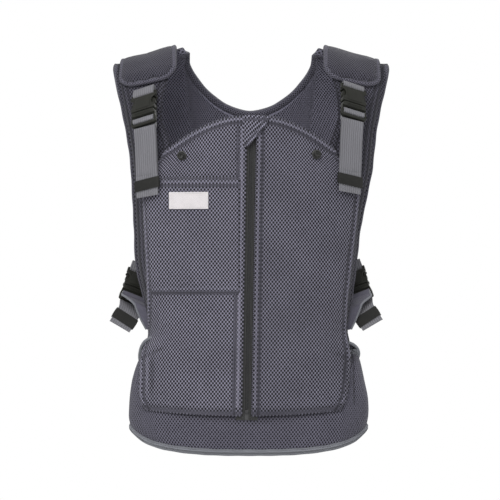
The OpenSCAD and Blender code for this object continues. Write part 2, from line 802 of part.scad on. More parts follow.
// The cloth wing from a side buckle's ladder to the front panel's edge: over the ladder at
// these [y, z] of the buckle's frame, then outer and inner ends as [out from the strap, y, z]
wing_ladder = [[-4, -39.5], [-4.4, -44], [-5, -47.5]];
wing_ends = [
    [[23.5, -33, -300], [8.5, -32, -309]],
    [[14, -41.5, -309], [4, -43, -315]],
    [[11.5, -41.5, -320], [1.2, -43.5, -323]],
    [[9, -41.5, -331], [1.4, -43, -335]],
    [[5, -41.5, -343], [2, -42.5, -345]]
];

module side_wing(side) {
    across = unit(across_at("side", side)) * web_w / 2;
    start = [for (p = wing_ladder) let (c = spot("side", side, 0, p[0], p[1])) [c - across, c + across]];
    ends = [for (w = wing_ends)
        let (e = [for (p = w) [side * (half_w(side, p[2]) + p[0]), p[1], p[2]]])
        side < 0 ? e : [e[1], e[0]]];
    line = concat(start, ends);
    middle = [for (l = line) (l[0] + l[1]) / 2];
    last = len(line) - 1;
    color(mesh_grey) loft([for (i = [0:last])
        let (along = middle[min(i + 1, last)] - middle[max(i - 1, 0)],
             n = unit(cross(along, line[i][1] - line[i][0])) * web_t / 2)
        [line[i][0] - n, line[i][1] - n, line[i][1] + n, line[i][0] + n]]);
}

module anchor_shoulder_left() anchor_shoulder(LEFT);
module anchor_shoulder_right() anchor_shoulder(RIGHT);
module side_wing_left() side_wing(LEFT);
module side_wing_right() side_wing(RIGHT);
module tail_shoulder_left() tail_shoulder(LEFT);
module tail_shoulder_right() tail_shoulder(RIGHT);
module tail_side_left() tail_side(LEFT);
module tail_side_right() tail_side(RIGHT);
module keeper_shoulder_left() keeper_shoulder(LEFT);
module keeper_shoulder_right() keeper_shoulder(RIGHT);
module keeper_side_left() keeper_side(LEFT);
module keeper_side_right() keeper_side(RIGHT);

back_cover();
back_foam();
back_lining();
strap_cover_left();
strap_cover_right();
strap_foam_left();
strap_foam_right();
front_panel_left();
front_panel_right();
pocket_panel();
label();
zip_tape_left();
zip_tape_right();
zip_coils();
zip_stops();
belt_cover();
belt_foam();
belt_lining();
hem_binding();
neck_binding();
armhole_bindings();
side_bindings();
pad_cover_left();
pad_cover_right();
pad_foam_left();
pad_foam_right();
snap_sockets();
shoulder_loops();
side_loops();
socket_shoulder_left();
socket_shoulder_right();
socket_side_left();
socket_side_right();
anchor_shoulder_left();
anchor_shoulder_right();
side_wing_left();
side_wing_right();
plug_shoulder_left();
plug_shoulder_right();
plug_side_left();
plug_side_right();
tail_shoulder_left();
tail_shoulder_right();
tail_side_left();
tail_side_right();
keeper_shoulder_left();
keeper_shoulder_right();
keeper_side_left();
keeper_side_right();
arm_shoulder_left_a();
arm_shoulder_left_b();
arm_shoulder_right_a();
arm_shoulder_right_b();
arm_side_left_a();
arm_side_left_b();
arm_side_right_a();
arm_side_right_b();
zip_garage();
zip_slider();
zip_pull();
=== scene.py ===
"""A vest-shaped soft baby carrier: fabrics, padding, webbing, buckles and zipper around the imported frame."""
import math
import bmesh
import bpy
import numpy as np
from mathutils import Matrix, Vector, kdtree


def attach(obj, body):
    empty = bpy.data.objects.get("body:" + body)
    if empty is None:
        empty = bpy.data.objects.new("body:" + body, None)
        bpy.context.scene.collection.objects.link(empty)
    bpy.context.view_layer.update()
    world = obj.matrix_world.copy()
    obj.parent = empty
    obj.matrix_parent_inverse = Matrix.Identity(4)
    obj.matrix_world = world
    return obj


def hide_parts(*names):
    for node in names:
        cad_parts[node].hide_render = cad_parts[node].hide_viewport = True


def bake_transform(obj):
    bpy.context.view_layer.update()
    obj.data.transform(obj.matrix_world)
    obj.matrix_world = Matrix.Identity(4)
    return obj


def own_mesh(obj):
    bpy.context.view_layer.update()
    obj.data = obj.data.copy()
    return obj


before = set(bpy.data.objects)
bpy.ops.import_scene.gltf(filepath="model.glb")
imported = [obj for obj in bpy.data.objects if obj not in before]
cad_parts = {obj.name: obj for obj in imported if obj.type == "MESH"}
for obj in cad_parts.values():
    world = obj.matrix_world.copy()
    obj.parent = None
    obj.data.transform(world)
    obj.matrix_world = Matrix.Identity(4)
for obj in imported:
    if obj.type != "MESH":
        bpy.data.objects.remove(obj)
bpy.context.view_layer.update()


LEFT, RIGHT = -1, 1
NAME = {LEFT: "left", RIGHT: "right"}
VEST = "vest"

# ------------------------------------------------------------------ camera, light and floor

VIEW_Z = -0.2392
CAMERA_Y = -8.0
camera_data = bpy.data.cameras.new("camera")
camera_data.lens = 438
camera_data.sensor_width = 36
camera_data.clip_end = 100
camera = bpy.data.objects.new("camera", camera_data)
camera.location = (0, CAMERA_Y, VIEW_Z)
camera.rotation_euler = (math.radians(90), 0, 0)
bpy.context.scene.collection.objects.link(camera)
bpy.context.scene.camera = camera
bpy.context.scene.view_settings.view_transform = "Standard"


def area_light(name, place, aim, size, watts):
    data = bpy.data.lights.new(name, "AREA")
    data.size = size
    data.energy = watts
    light = bpy.data.objects.new(name, data)
    light.location = place
    light.rotation_euler = (Vector(aim) - Vector(place)).to_track_quat("-Z", "Y").to_euler()
    bpy.context.scene.collection.objects.link(light)


AIM = (0, 0, -0.25)
area_light("key_light", (-0.85, -2.1, 1.2), AIM, 1.5, 38)
area_light("fill_light", (1.1, -2.1, 1.2), AIM, 1.4, 11)
area_light("rear_light", (0.8, 2.4, 0.8), AIM, 1.6, 22)


class Nodes:
    """Short ways to add nodes to one node tree."""

    def __init__(self, tree):
        self.tree = tree

    def new(self, kind, **settings):
        node = self.tree.nodes.new("ShaderNode" + kind)
        for key, value in settings.items():
            setattr(node, key, value)
        return node

    def put(self, socket, value):
        if hasattr(value, "is_output"):
            self.tree.links.new(value, socket)
        else:
            socket.default_value = value

    def math(self, operation, *values, clamp=False):
        node = self.new("Math", operation=operation, use_clamp=clamp)
        for socket, value in zip(node.inputs, values):
            self.put(socket, value)
        return node.outputs[0]

    def vector(self, operation, *values):
        node = self.new("VectorMath", operation=operation)
        for socket, value in zip(node.inputs, values):
            self.put(socket, value)
        return node.outputs["Value" if operation in ("LENGTH", "DOT_PRODUCT") else "Vector"]

    def scale(self, colour, factor):
        node = self.new("VectorMath", operation="SCALE")
        self.put(node.inputs[0], colour)
        self.put(node.inputs["Scale"], factor)
        return node.outputs["Vector"]

    def blend(self, share, first, second):
        node = self.new("Mix", data_type="RGBA")
        self.put(node.inputs[0], share)
        self.put(node.inputs[6], first)
        self.put(node.inputs[7], second)
        return node.outputs[2]

    def ramp(self, value, low, high, to_low=0.0, to_high=1.0):
        node = self.new("MapRange", interpolation_type="SMOOTHSTEP")
        for socket, number in zip(node.inputs, (value, low, high, to_low, to_high)):
            self.put(socket, number)
        return node.outputs[0]

    def noise(self, place, scale, detail=2.0):
        node = self.new("TexNoise")
        self.put(node.inputs["Vector"], place)
        self.put(node.inputs["Scale"], scale)
        self.put(node.inputs["Detail"], detail)
        return node.outputs[0]


def rgba(colour, factor=1.0):
    return (colour[0] * factor, colour[1] * factor, colour[2] * factor, 1.0)


WORLD_LIGHT = 0.52
world = bpy.data.worlds.new("studio")
bpy.context.scene.world = world
world.use_nodes = True
world.node_tree.nodes.clear()
w = Nodes(world.node_tree)


def seen_white(nodes):
    """1 for rays that show the backdrop itself: camera, glossy and transmission rays."""
    path = nodes.new("LightPath")
    glossy = nodes.math("MAXIMUM", path.outputs["Is Camera Ray"], path.outputs["Is Glossy Ray"])
    return nodes.math("MAXIMUM", glossy, path.outputs["Is Transmission Ray"])


ambient = w.new("Background")
ambient.inputs[0].default_value = (0.96, 0.97, 1, 1)
ambient.inputs[1].default_value = WORLD_LIGHT
white = w.new("Background")
white.inputs[0].default_value = (1, 1, 1, 1)
mix = w.new("MixShader")
w.put(mix.inputs[0], seen_white(w))
w.put(mix.inputs[1], ambient.outputs[0])
w.put(mix.inputs[2], white.outputs[0])
w.put(w.new("OutputWorld").inputs[0], mix.outputs[0])


# ------------------------------------------------------------------ materials


def material(name, roughness, sheen=0.0, specular=0.5):
    """A new material, its nodes and its shader."""
    made = bpy.data.materials.new(name)
    made.use_nodes = True
    nodes = Nodes(made.node_tree)
    shader = made.node_tree.nodes["Principled BSDF"]
    shader.inputs["Roughness"].default_value = roughness
    shader.inputs["Sheen Weight"].default_value = sheen
    shader.inputs["Sheen Roughness"].default_value = 0.5
    shader.inputs["Specular IOR Level"].default_value = specular
    return made, nodes, shader


def bump(nodes, shader, height, distance, strength=1.0):
    node = nodes.new("Bump")
    nodes.put(node.inputs["Height"], height)
    node.inputs["Distance"].default_value = distance
    node.inputs["Strength"].default_value = strength
    nodes.put(shader.inputs["Normal"], node.outputs[0])


def painted_shade_of(nodes):
    """The painted shade per point: 1 darkens the bottom of a seam, below 0 lightens a ridge as a painted
    highlight.
    """
    return nodes.new("Attribute", attribute_name="crease").outputs["Fac"]


def uv_mm(nodes):
    """The UV map, which holds millimetres along the cloth."""
    return nodes.new("TexCoord").outputs["UV"]


def place_of(nodes):
    return nodes.new("TexCoord").outputs["Object"]


HOLE_PITCH = (4.4, 5.5)
HOLE_HALF = 1.32


def air_mesh(name, colour, hole=0.06, pitch=HOLE_PITCH, half=HOLE_HALF, contrast=1.0):
    """Open mesh cloth: staggered oval holes between knitted threads, with painted shade in seams and rims and
    a painted highlight on ridges.
    """
    made, n, shader = material(name, 0.85, 0.12, 0.25)
    flat = uv_mm(n)
    wobble = n.noise(n.vector("MULTIPLY", flat, (0.35, 0.35, 0)), 1.0, 1.0)
    push = n.new("CombineXYZ")
    n.put(push.inputs[0], n.math("MULTIPLY", wobble, 0.55))
    n.put(push.inputs[1], n.math("MULTIPLY", wobble, -0.4))
    shifted = n.vector("ADD", flat, push.outputs[0])
    cells = n.vector("MULTIPLY", shifted, (1 / pitch[0], 1 / pitch[1], 0))
    nearest = None
    for offset in ((0, 0, 0), (0.5, 0.5, 0)):
        inside = n.vector("FRACTION", n.vector("ADD", cells, offset))
        centred = n.vector("SUBTRACT", inside, (0.5, 0.5, 0))
        away = n.vector("LENGTH", n.vector("MULTIPLY", centred, (pitch[0] * 1.05, pitch[1] * 0.86, 0)))
        nearest = away if nearest is None else n.math("MINIMUM", nearest, away)
    crease = painted_shade_of(n)
    shut = n.math("MAXIMUM", n.math("MULTIPLY_ADD", crease, 2.4, -1.1, clamp=True),
                  n.math("MULTIPLY", crease, -4.0, clamp=True))
    solid_part = n.math("MAXIMUM", n.ramp(nearest, half - 0.42, half + 0.38), shut)
    tone = n.noise(n.vector("MULTIPLY", flat, (0.02, 0.02, 0)), 1.0, 3.0)
    thread = n.noise(n.vector("MULTIPLY", flat, (2.2, 0.9, 0)), 1.0, 2.0)
    light = n.blend(n.ramp(thread, 0.3, 0.75), rgba(colour, 0.72), rgba(colour, 1.25))
    light = n.blend(n.ramp(tone, 0.3, 0.7), n.blend(0.14, light, (0, 0, 0, 1)), light)
    dark = rgba(colour, hole)
    cloth = n.blend(n.math("MULTIPLY", solid_part, contrast), dark, light)
    # painted shade and highlight: the colour darkens where the painted shade per point is above 0, in seams,
    # grooves and rims, and lightens where it is below 0, on ridges
    n.put(shader.inputs["Base Color"], n.scale(cloth, n.math("MULTIPLY_ADD", crease, -0.82, 1.0)))
    height = n.math("ADD", solid_part, n.math("MULTIPLY", thread, 0.35))
    bump(n, shader, height, 0.0007, 0.75)
    return made


def ribbed(name, colour, pitch, cross_pitch, roughness=0.75, sheen=0.15, depth=0.00025, dark=0.62):
    """Woven tape: ribs along its length, pitch apart across it, broken by the cross weave."""
    made, n, shader = material(name, roughness, sheen, 0.3)
    flat = uv_mm(n)
    part = n.new("SeparateXYZ")
    n.put(part.inputs[0], flat)
    across = n.math("SINE", n.math("MULTIPLY", part.outputs[0], 2 * math.pi / pitch))
    along = n.math("SINE", n.math("MULTIPLY", part.outputs[1], 2 * math.pi / cross_pitch))
    weave = n.math("MULTIPLY_ADD", along, 0.3, across)
    grain = n.noise(n.vector("MULTIPLY", flat, (1.1, 0.25, 0)), 1.0, 3.0)
    tone = n.noise(n.vector("MULTIPLY", flat, (0.08, 0.012, 0)), 1.0, 2.0)
    base = n.blend(n.ramp(weave, -1.0, 0.7), rgba(colour, dark), rgba(colour, 1.12))
    base = n.blend(n.math("MULTIPLY", n.ramp(grain, 0.42, 0.75), 0.22), base, rgba(colour, 1.6))
    base = n.blend(n.ramp(tone, 0.35, 0.65, 0.0, 0.16), base, rgba(colour, 0.55))
    n.put(shader.inputs["Base Color"], base)
    bump(n, shader, n.math("ADD", weave, n.math("MULTIPLY", grain, 0.6)), depth)
    return made


def plain_cloth(name, colour, roughness=0.8, sheen=0.2, pitch=0.9):
    """Smooth knitted cloth with a fine diagonal twill."""
    made, n, shader = material(name, roughness, sheen, 0.3)
    flat = uv_mm(n)
    part = n.new("SeparateXYZ")
    n.put(part.inputs[0], flat)
    slope = n.math("ADD", part.outputs[0], part.outputs[1])
    twill = n.math("SINE", n.math("MULTIPLY", slope, 2 * math.pi / pitch))
    tone = n.noise(n.vector("MULTIPLY", flat, (0.06, 0.06, 0)), 1.0, 3.0)
    fuzz = n.noise(n.vector("MULTIPLY", flat, (1.4, 1.4, 0)), 1.0, 2.0)
    base = n.blend(n.ramp(twill, -1.0, 1.0), rgba(colour, 0.84), rgba(colour, 1.08))
    base = n.blend(n.ramp(tone, 0.3, 0.7, 0.0, 0.25), base, rgba(colour, 0.7))
    base = n.blend(n.ramp(fuzz, 0.5, 0.8, 0.0, 0.2), base, rgba(colour, 1.5))
    n.put(shader.inputs["Base Color"], base)
    bump(n, shader, n.math("MULTIPLY_ADD", fuzz, 0.8, twill), 0.00012)
    return made


def moulded(name, colour, roughness=0.42, metallic=0.0, specular=0.45):
    """Moulded plastic or painted metal with a fine texture, scuffs and dull patches."""
    made, n, shader = material(name, roughness, 0.0, specular)
    shader.inputs["Metallic"].default_value = metallic
    where = place_of(n)
    fine = n.noise(where, 2600.0, 2.0)
    patch = n.noise(where, 70.0, 3.0)
    scuff = n.noise(n.vector("MULTIPLY", where, (900.0, 900.0, 120.0)), 1.0, 4.0)
    base = n.blend(n.ramp(patch, 0.35, 0.7), rgba(colour, 0.82), rgba(colour, 1.15))
    base = n.blend(n.ramp(scuff, 0.66, 0.8, 0.0, 0.35), base, rgba(colour, 2.6))
    n.put(shader.inputs["Base Color"], base)
    n.put(shader.inputs["Roughness"], n.ramp(patch, 0.3, 0.75, roughness - 0.07, roughness + 0.12))
    bump(n, shader, n.math("MULTIPLY_ADD", scuff, 0.3, fine), 0.00006)
    return made


# Colours are linear, as light studio cloth shows them
front_mesh = air_mesh("front_air_mesh", (0.312, 0.3, 0.382), hole=0.025, half=1.45)
back_mesh = air_mesh("back_air_mesh", (0.19, 0.182, 0.235))
belt_mesh = air_mesh("belt_air_mesh", (0.162, 0.155, 0.203), half=1.22)
# the right front panel is the same cloth as the left, painted darker: painted shade for the side away from the
# key light
right_mesh_painted_shade = air_mesh("right_front_air_mesh_painted_shade", (0.245, 0.236, 0.302), hole=0.03, half=1.42)
rolled_mesh = air_mesh("rolled_edge_mesh", (0.155, 0.149, 0.192), pitch=(3.0, 3.6), half=0.78)
# the straps are the front's air mesh cloth, painted about three times darker: painted shade of straps that
# turn away from the light
strap_mesh_painted_shade = air_mesh("strap_air_mesh_painted_shade", (0.095, 0.091, 0.121), half=1.3)
pad_mesh = air_mesh("pad_air_mesh", (0.088, 0.084, 0.111), pitch=(3.6, 4.4), half=0.98)
inner_mesh = air_mesh("lining_air_mesh", (0.215, 0.207, 0.268), half=1.2)
side_cloth = plain_cloth("smooth_side_cloth", (0.13, 0.125, 0.163))
hem_cloth = ribbed("grey_woven_binding", (0.225, 0.232, 0.256), 1.3, 1.1, dark=0.75)
webbing = ribbed("ribbed_webbing", (0.18, 0.178, 0.194), 3.0, 1.0, roughness=0.55, sheen=0.2, depth=0.0002,
                 dark=0.78)
elastic = ribbed("ribbed_elastic", (0.02, 0.02, 0.018), 60.0, 1.15, depth=0.0003, sheen=0.02)
zip_cloth = ribbed("zipper_tape_cloth", (0.055, 0.055, 0.054), 2.1, 1.0, depth=0.0004, dark=0.45)
coil_plastic = moulded("zipper_coil_nylon", (0.05, 0.05, 0.051), 0.5)
buckle_plastic = moulded("satin_black_acetal", (0.0125, 0.013, 0.0095), 0.48, specular=0.25)
snap_plastic = moulded("snap_black", (0.021, 0.021, 0.019), 0.36)
black_metal = moulded("blackened_zinc", (0.035, 0.035, 0.037), 0.5, 0.4)
label_cloth = plain_cloth("label_satin", (0.95, 0.9, 0.905), 0.5, 0.3, pitch=0.7)
thread = plain_cloth("sewing_thread", (0.16, 0.155, 0.19), 0.7, 0.2, pitch=0.5)
white_thread = plain_cloth("label_thread", (0.75, 0.72, 0.72), 0.7, 0.2, pitch=0.5)

# ------------------------------------------------------------------ meshes, in millimetres


def metres(point):
    return tuple(float(c) * 0.001 for c in point)


def unit(v):
    v = np.asarray(v, float)
    return v / np.maximum(np.linalg.norm(v, axis=-1, keepdims=True), 1e-9)


def build(name, parts, look, body=VEST, sharp=40):
    """One piece from parts of (points in mm, faces, UV in mm per point, and optionally painted shade per
    point), riding on a body.
    """
    points, faces, uvs, painted_shades, start = [], [], [], [], 0
    for p, f, t, *crease in parts:
        p = np.asarray(p, float).reshape(-1, 3)
        points.append(p)
        painted_shades.append(crease[0] if crease else np.zeros(len(p)))
        uvs.append(np.zeros((len(p), 2)) if t is None else np.asarray(t, float).reshape(-1, 2))
        faces += [[i + start for i in face] for face in f]
        start += len(p)
    mesh = bpy.data.meshes.new(name)
    mesh.from_pydata((np.concatenate(points) * 0.001).tolist(), [], faces)
    mesh.update()
    layer = mesh.uv_layers.new(name="mm")
    index = np.zeros(len(mesh.loops), np.int32)
    mesh.loops.foreach_get("vertex_index", index)
    layer.data.foreach_set("uv", np.concatenate(uvs)[index].astype(np.float32).ravel())
    tidy = bmesh.new()
    tidy.from_mesh(mesh)
    bmesh.ops.recalc_face_normals(tidy, faces=tidy.faces)
    tidy.to_mesh(mesh)
    tidy.free()
    mesh.polygons.foreach_set("use_smooth", [True] * len(mesh.polygons))
    mesh.set_sharp_from_angle(angle=math.radians(sharp))
    mesh.materials.append(look)
    # the painted shade per point, which the air mesh materials turn into darker seams and rims and lighter
    # ridges
    shade = mesh.attributes.new("crease", "FLOAT", "POINT")
    shade.data.foreach_set("value", np.clip(np.concatenate(painted_shades), -1, 1).astype(np.float32))
    piece = bpy.data.objects.new(name, mesh)
    bpy.context.scene.collection.objects.link(piece)
    if body:
        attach(piece, body)
    return piece


def ring_faces(rings, n, wrap=False, caps=True):
    faces = []
    for i in range(rings if wrap else rings - 1):
        a, b = i * n, ((i + 1) % rings) * n
        faces += [(a + j, a + (j + 1) % n, b + (j + 1) % n, b + j) for j in range(n)]
    if caps and not wrap:
        faces.append(tuple(range(n - 1, -1, -1)))
        faces.append(tuple((rings - 1) * n + j for j in range(n)))
    return faces


def run_length(path):
    steps = np.linalg.norm(np.diff(path, axis=0), axis=1)
    return np.concatenate([[0], np.cumsum(steps)])


def tube(path, a, b, ra, rb, n=14, wrap=False, square=1.0):
    """A tube round a path; its section is an oval, or squarer as square falls below 1."""
    path = np.asarray(path, float)
    turn = np.arange(n) * 2 * math.pi / n
    c = np.sign(np.cos(turn)) * np.abs(np.cos(turn)) ** square
    s = np.sign(np.sin(turn)) * np.abs(np.sin(turn)) ** square
    ra = np.broadcast_to(ra, len(path))[:, None, None]
    rb = np.broadcast_to(rb, len(path))[:, None, None]
    p = path[:, None] + a[:, None] * c[None, :, None] * ra + b[:, None] * s[None, :, None] * rb
    around = turn / (2 * math.pi) * 2.6 * (float(ra.mean()) + float(rb.mean()))
    along = run_length(path)
    uv = np.stack(np.broadcast_arrays(around[None, :], along[:, None]), -1)
    return p.reshape(-1, 3), ring_faces(len(path), n, wrap), uv


def smooth_path(points, per=6):
    """A Catmull-Rom curve through the points."""
    p = np.asarray(points, float)
    ends = np.vstack([2 * p[0] - p[1], p, 2 * p[-1] - p[-2]])
    out = []
    for i in range(1, len(ends) - 2):
        a, b, c, d = ends[i - 1: i + 3]
        for t in np.arange(per) / per:
            out.append(0.5 * (2 * b + (c - a) * t + (2 * a - 5 * b + 4 * c - d) * t ** 2
                              + (3 * b - a - 3 * c + d) * t ** 3))
    out.append(p[-1])
    return np.array(out)


BAND_PROFILE = ([(-1, 0)] + [(-1 + 2 * k / 12, 1) for k in range(13)]
                + [(1, 0)] + [(1 - 2 * k / 12, -1) for k in range(13)])


def band(path, across, width, thick, wrinkle=0.0):
    """A flat strip of webbing along a path, with firm edges."""
    path = np.asarray(path, float)
    across = unit(across)
    normal = unit(np.cross(np.gradient(path, axis=0), across))
    profile = np.array(BAND_PROFILE, float)
    s = np.sign(profile[:, 0]) * np.abs(profile[:, 0]) ** 0.85
    edge = np.where(np.abs(s) > 0.9, 1.12, 1.0)
    lift = profile[:, 1] * edge * thick / 2
    if np.ndim(width) == 0:
        width = np.full(len(path), float(width))
    along = run_length(path)
    sway = wrinkle * np.sin(along / 9.0)[:, None] * (1 - s[None] ** 2)
    p = (path[:, None] + across[:, None] * (s[None] * width[:, None] / 2)[..., None]
         + normal[:, None] * (lift[None] + sway)[..., None])
    uv = np.stack(np.broadcast_arrays(s[None] * width[:, None] / 2, along[:, None]), -1)
    return p.reshape(-1, 3), ring_faces(len(path), len(profile)), uv


class Grid:
    """A surface f(u, v) sampled on a grid, with outward normals and millimetres along it."""

    def __init__(self, f, u, v, reference=0):
        e = 0.004
        self.u, self.v = np.meshgrid(u, v)
        self.p = f(self.u, self.v)
        du = f(np.minimum(self.u + e, 1), self.v) - f(np.maximum(self.u - e, 0), self.v)
        dv = f(self.u, np.minimum(self.v + e, 1)) - f(self.u, np.maximum(self.v - e, 0))
        self.n = unit(np.cross(du, dv))
        self.x, self.z = self.p[..., 0], self.p[..., 2]
        steps = np.linalg.norm(np.diff(self.p, axis=1), axis=-1)
        run = np.concatenate([np.zeros((len(v), 1)), np.cumsum(steps, 1)], 1)
        self.run = run - run[:, reference:reference + 1]
        rise = np.linalg.norm(np.diff(self.p, axis=0), axis=-1)
        self.rise = np.concatenate([np.zeros((1, len(u))), np.cumsum(rise, 0)], 0)
        self.uv = np.stack([self.run + self.x[0, reference], self.rise + self.z[:1]], -1)
        self.width = run[:, -1:]
        self.length = self.rise[-1:]

    def edge_gap(self):
        """Distance in mm to the start and end of each row, and of each column."""
        first = self.run - self.run[:, :1]
        return first, self.width - first, self.rise, self.length - self.rise


ROUND = (0.25, 0.5, 0.75)


def slab(grid, low, high, bulge=None, crease=0.0):
    """A closed layer over a grid between two heights along its normals, with rounded rims, painted shade per
    point on its top and a little painted shade on its rims.
    """
    rows, cols = grid.u.shape
    low = np.broadcast_to(low, (rows, cols))
    high = np.broadcast_to(high, (rows, cols))
    top = grid.p + grid.n * high[..., None]
    bottom = grid.p + grid.n * low[..., None]
    points = [top.reshape(-1, 3), bottom.reshape(-1, 3)]
    uv = [grid.uv.reshape(-1, 2)] * 2
    shade = [np.broadcast_to(crease, (rows, cols)).reshape(-1), np.zeros(rows * cols)]
    faces = []
    count = rows * cols
    for i in range(rows - 1):
        for j in range(cols - 1):
            a = i * cols + j
            quad = (a, a + 1, a + cols + 1, a + cols)
            faces.append(quad)
            faces.append(tuple(count + k for k in reversed(quad)))
    rim = ([j for j in range(cols)] + [i * cols + cols - 1 for i in range(1, rows)]
           + [(rows - 1) * cols + j for j in range(cols - 2, -1, -1)]
           + [i * cols for i in range(rows - 2, 0, -1)])
    flat_p, flat_n = grid.p.reshape(-1, 3)[rim], grid.n.reshape(-1, 3)[rim]
    ahead, behind = np.roll(flat_p, -1, 0), np.roll(flat_p, 1, 0)
    outward = unit(np.cross(ahead - behind, flat_n))
    top_h, low_h = high.reshape(-1)[rim], low.reshape(-1)[rim]
    half = (top_h - low_h) / 2
    reach = half if bulge is None else np.full(len(rim), bulge)
    n = len(rim)
    base = 2 * count
    rings = [np.array(rim)]
    for k, share in enumerate(ROUND):
        angle = math.pi * share
        rise = (top_h + low_h) / 2 + half * math.cos(angle)
        points.append(flat_p + flat_n * rise[:, None] + outward * (reach * math.sin(angle))[:, None])
        uv.append(grid.uv.reshape(-1, 2)[rim])
        # painted shade: every rim is darkened a little
        shade.append(np.full(n, 0.3))
        rings.append(base + k * n + np.arange(n))
    rings.append(np.array(rim) + count)
    for one, two in zip(rings, rings[1:]):
        nxt_one, nxt_two = np.roll(one, -1), np.roll(two, -1)
        faces += [tuple(int(x) for x in q) for q in zip(one, two, nxt_two, nxt_one)]
    return np.concatenate(points), faces, np.concatenate(uv), np.concatenate(shade)


def samples(length, fine=11.0, near=1.3, far=4.0):
    """Shares from 0 to 1, closer together near both ends."""
    middle = max(2, round((length - 2 * fine) / far))
    edge = round(fine / near)
    first = np.linspace(0, fine / length, edge, endpoint=False)
    inner = np.linspace(fine / length, 1 - fine / length, middle, endpoint=False)
    return np.concatenate([first, inner, 1 - first[::-1]])


def ridge(d, middle, half):
    """A smooth hump of height 1 where d is near middle."""
    return np.cos(np.clip((d - middle) / half, -1, 1) * math.pi / 2) ** 2


def stitches(path, normal, step=3.4, length=2.3, r=0.24, sink=0.05):
    """A row of separate thread stitches along a path."""
    path, normal = np.asarray(path, float), unit(normal)
    along = run_length(path)
    parts_p, parts_f = [], []
    starts = np.arange(step / 2, along[-1] - length, step)
    for k, s in enumerate(starts):
        ends = [np.array([np.interp(s + d, along, path[:, c]) for c in range(3)])
                for d in (0, length / 2, length)]
        up = np.array([np.interp(s, along, normal[:, c]) for c in range(3)])
        t = unit(ends[2] - ends[0])
        side = unit(np.cross(t, up))
        rise = (-sink - r, r * 0.7, -sink - r)
        for e, h in zip(ends, rise):
            centre = e + up * h
            parts_p += [centre + side * r, centre + up * r, centre - side * r, centre - up * r]
        o = 12 * k
        for ring in (0, 4):
            parts_f += [(o + ring + j, o + ring + (j + 1) % 4, o + ring + 4 + (j + 1) % 4, o + ring + 4 + j)
                        for j in range(4)]
        parts_f += [(o + 3, o + 2, o + 1, o), (o + 8, o + 9, o + 10, o + 11)]
    uv = np.zeros((len(parts_p), 2))
    uv[:, 1] = np.arange(len(parts_p)) * 0.4
    return np.array(parts_p), parts_f, uv


# ------------------------------------------------------------------ the vest's surfaces, as in the CAD

LEFT_W = [(16, 178), (3, 178), (-12, 177), (-44, 170), (-78, 163), (-109, 158), (-135, 155.5), (-174, 153.5),
          (-213, 151.5), (-252, 150.5), (-275, 146.5), (-304, 139), (-352, 128.5), (-366, 138), (-378, 144),
          (-390, 149), (-410, 155), (-430, 158), (-459, 159), (-475, 157), (-507, 150)]
RIGHT_W = [(16, 181), (3, 181), (-12, 180), (-44, 172.5), (-78, 166), (-109, 162.5), (-135, 160),
           (-174, 152), (-213, 144), (-252, 140), (-304, 134), (-346, 126), (-366, 138), (-378, 143),
           (-404, 149), (-430, 154.5), (-451, 155.5), (-475, 153.5), (-507, 147)]
BACK_W = [(16, 174), (-10, 168), (-57, 158), (-109, 144), (-174, 136), (-250, 132), (-340, 130),
          (-395, 142)]
FRONT_D = [(-60, 86), (-450, 100), (-475, 99), (-507, 95)]
STRAP_IN = [(16, 98), (-5, 104), (-40, 115), (-72, 117), (-104, 104), (-200, 108), (-352, 112)]
PANEL_LEFT = [(-60, 112), (-114, 112), (-140, 133), (-165, 139.5), (-304, 130), (-352, 127.5),
              (-378, 138), (-430, 139), (-447, 131)]
PANEL_RIGHT = [(-60, 108), (-114, 108), (-140, 133), (-165, 141), (-304, 127), (-346, 125),
               (-376, 132.5), (-430, 129), (-447, 121)]
EDGE_FRONT, EDGE_BACK, BACK_DEPTH = 38, 20, 95
ARCH_Z, APEX_Y, BACK_SHIFT = -130, 8, 5.4
STRAP_LOW, BACK_LOW, PANEL_LOW, BEND = -350, -395, -454, 0.6
NECK_X, NECK_HALF, NECK_END_Z, NECK_DROP = 1, 88.5, 30, 89
ZIP_TOP, ZIP_END = np.array([2.3, -86.2, -66]), np.array([-4.3, -100, -452])
ZIP_SHOW = 14.5
PAD_OUT, PAD_IN, PAD_END, PAD_BACK_W = 168, 97, 0.55, 170
GAP, PANEL_T, PANEL_RISE, POCKET_T = 0.4, 3, 0.8, 1.8
PANEL_OUT = PANEL_RISE + PANEL_T + GAP


def table(rows, z, soft=6.0):
    """A value by height from a table, with its corners rounded."""
    rows = sorted(rows)
    zs, ws = np.array([r[0] for r in rows], float), np.array([r[1] for r in rows], float)
    return sum(np.interp(z + d * soft, zs, ws) for d in (-1, -0.5, 0, 0.5, 1)) / 5


def lerp(a, b, t):
    return a + (b - a) * t


def half_w(side, z):
    return np.where(np.asarray(side) < 0, table(LEFT_W, z), table(RIGHT_W, z))


def apex_z(x):
    return 6 + 24 * np.clip((175 - np.abs(x)) / 88, 0, 1) ** 1.9


def round_off(r):
    return np.maximum(0, 1 - np.minimum(1, r) ** 3) ** 0.55


def front_y(r, z):
    return -EDGE_FRONT - (table(FRONT_D, z) - EDGE_FRONT) * round_off(r)


def back_y(r):
    return EDGE_BACK + (BACK_DEPTH - EDGE_BACK) * round_off(r)


def front_pt(x, z):
    x, z = np.broadcast_arrays(np.asarray(x, float), np.asarray(z, float))
    return np.stack([x, front_y(np.abs(x) / half_w(x, z), z), z], -1)


def arch_pt(x, y0, t, top_y=APEX_Y):
    turn = t * math.pi / 2
    return np.stack(np.broadcast_arrays(
        x, top_y + (y0 - top_y) * np.cos(turn), ARCH_Z + (apex_z(x) - ARCH_Z) * np.sin(turn)), -1)


def arch_level(t):
    return ARCH_Z + (apex_z(140) - ARCH_Z) * np.sin(t * math.pi / 2)


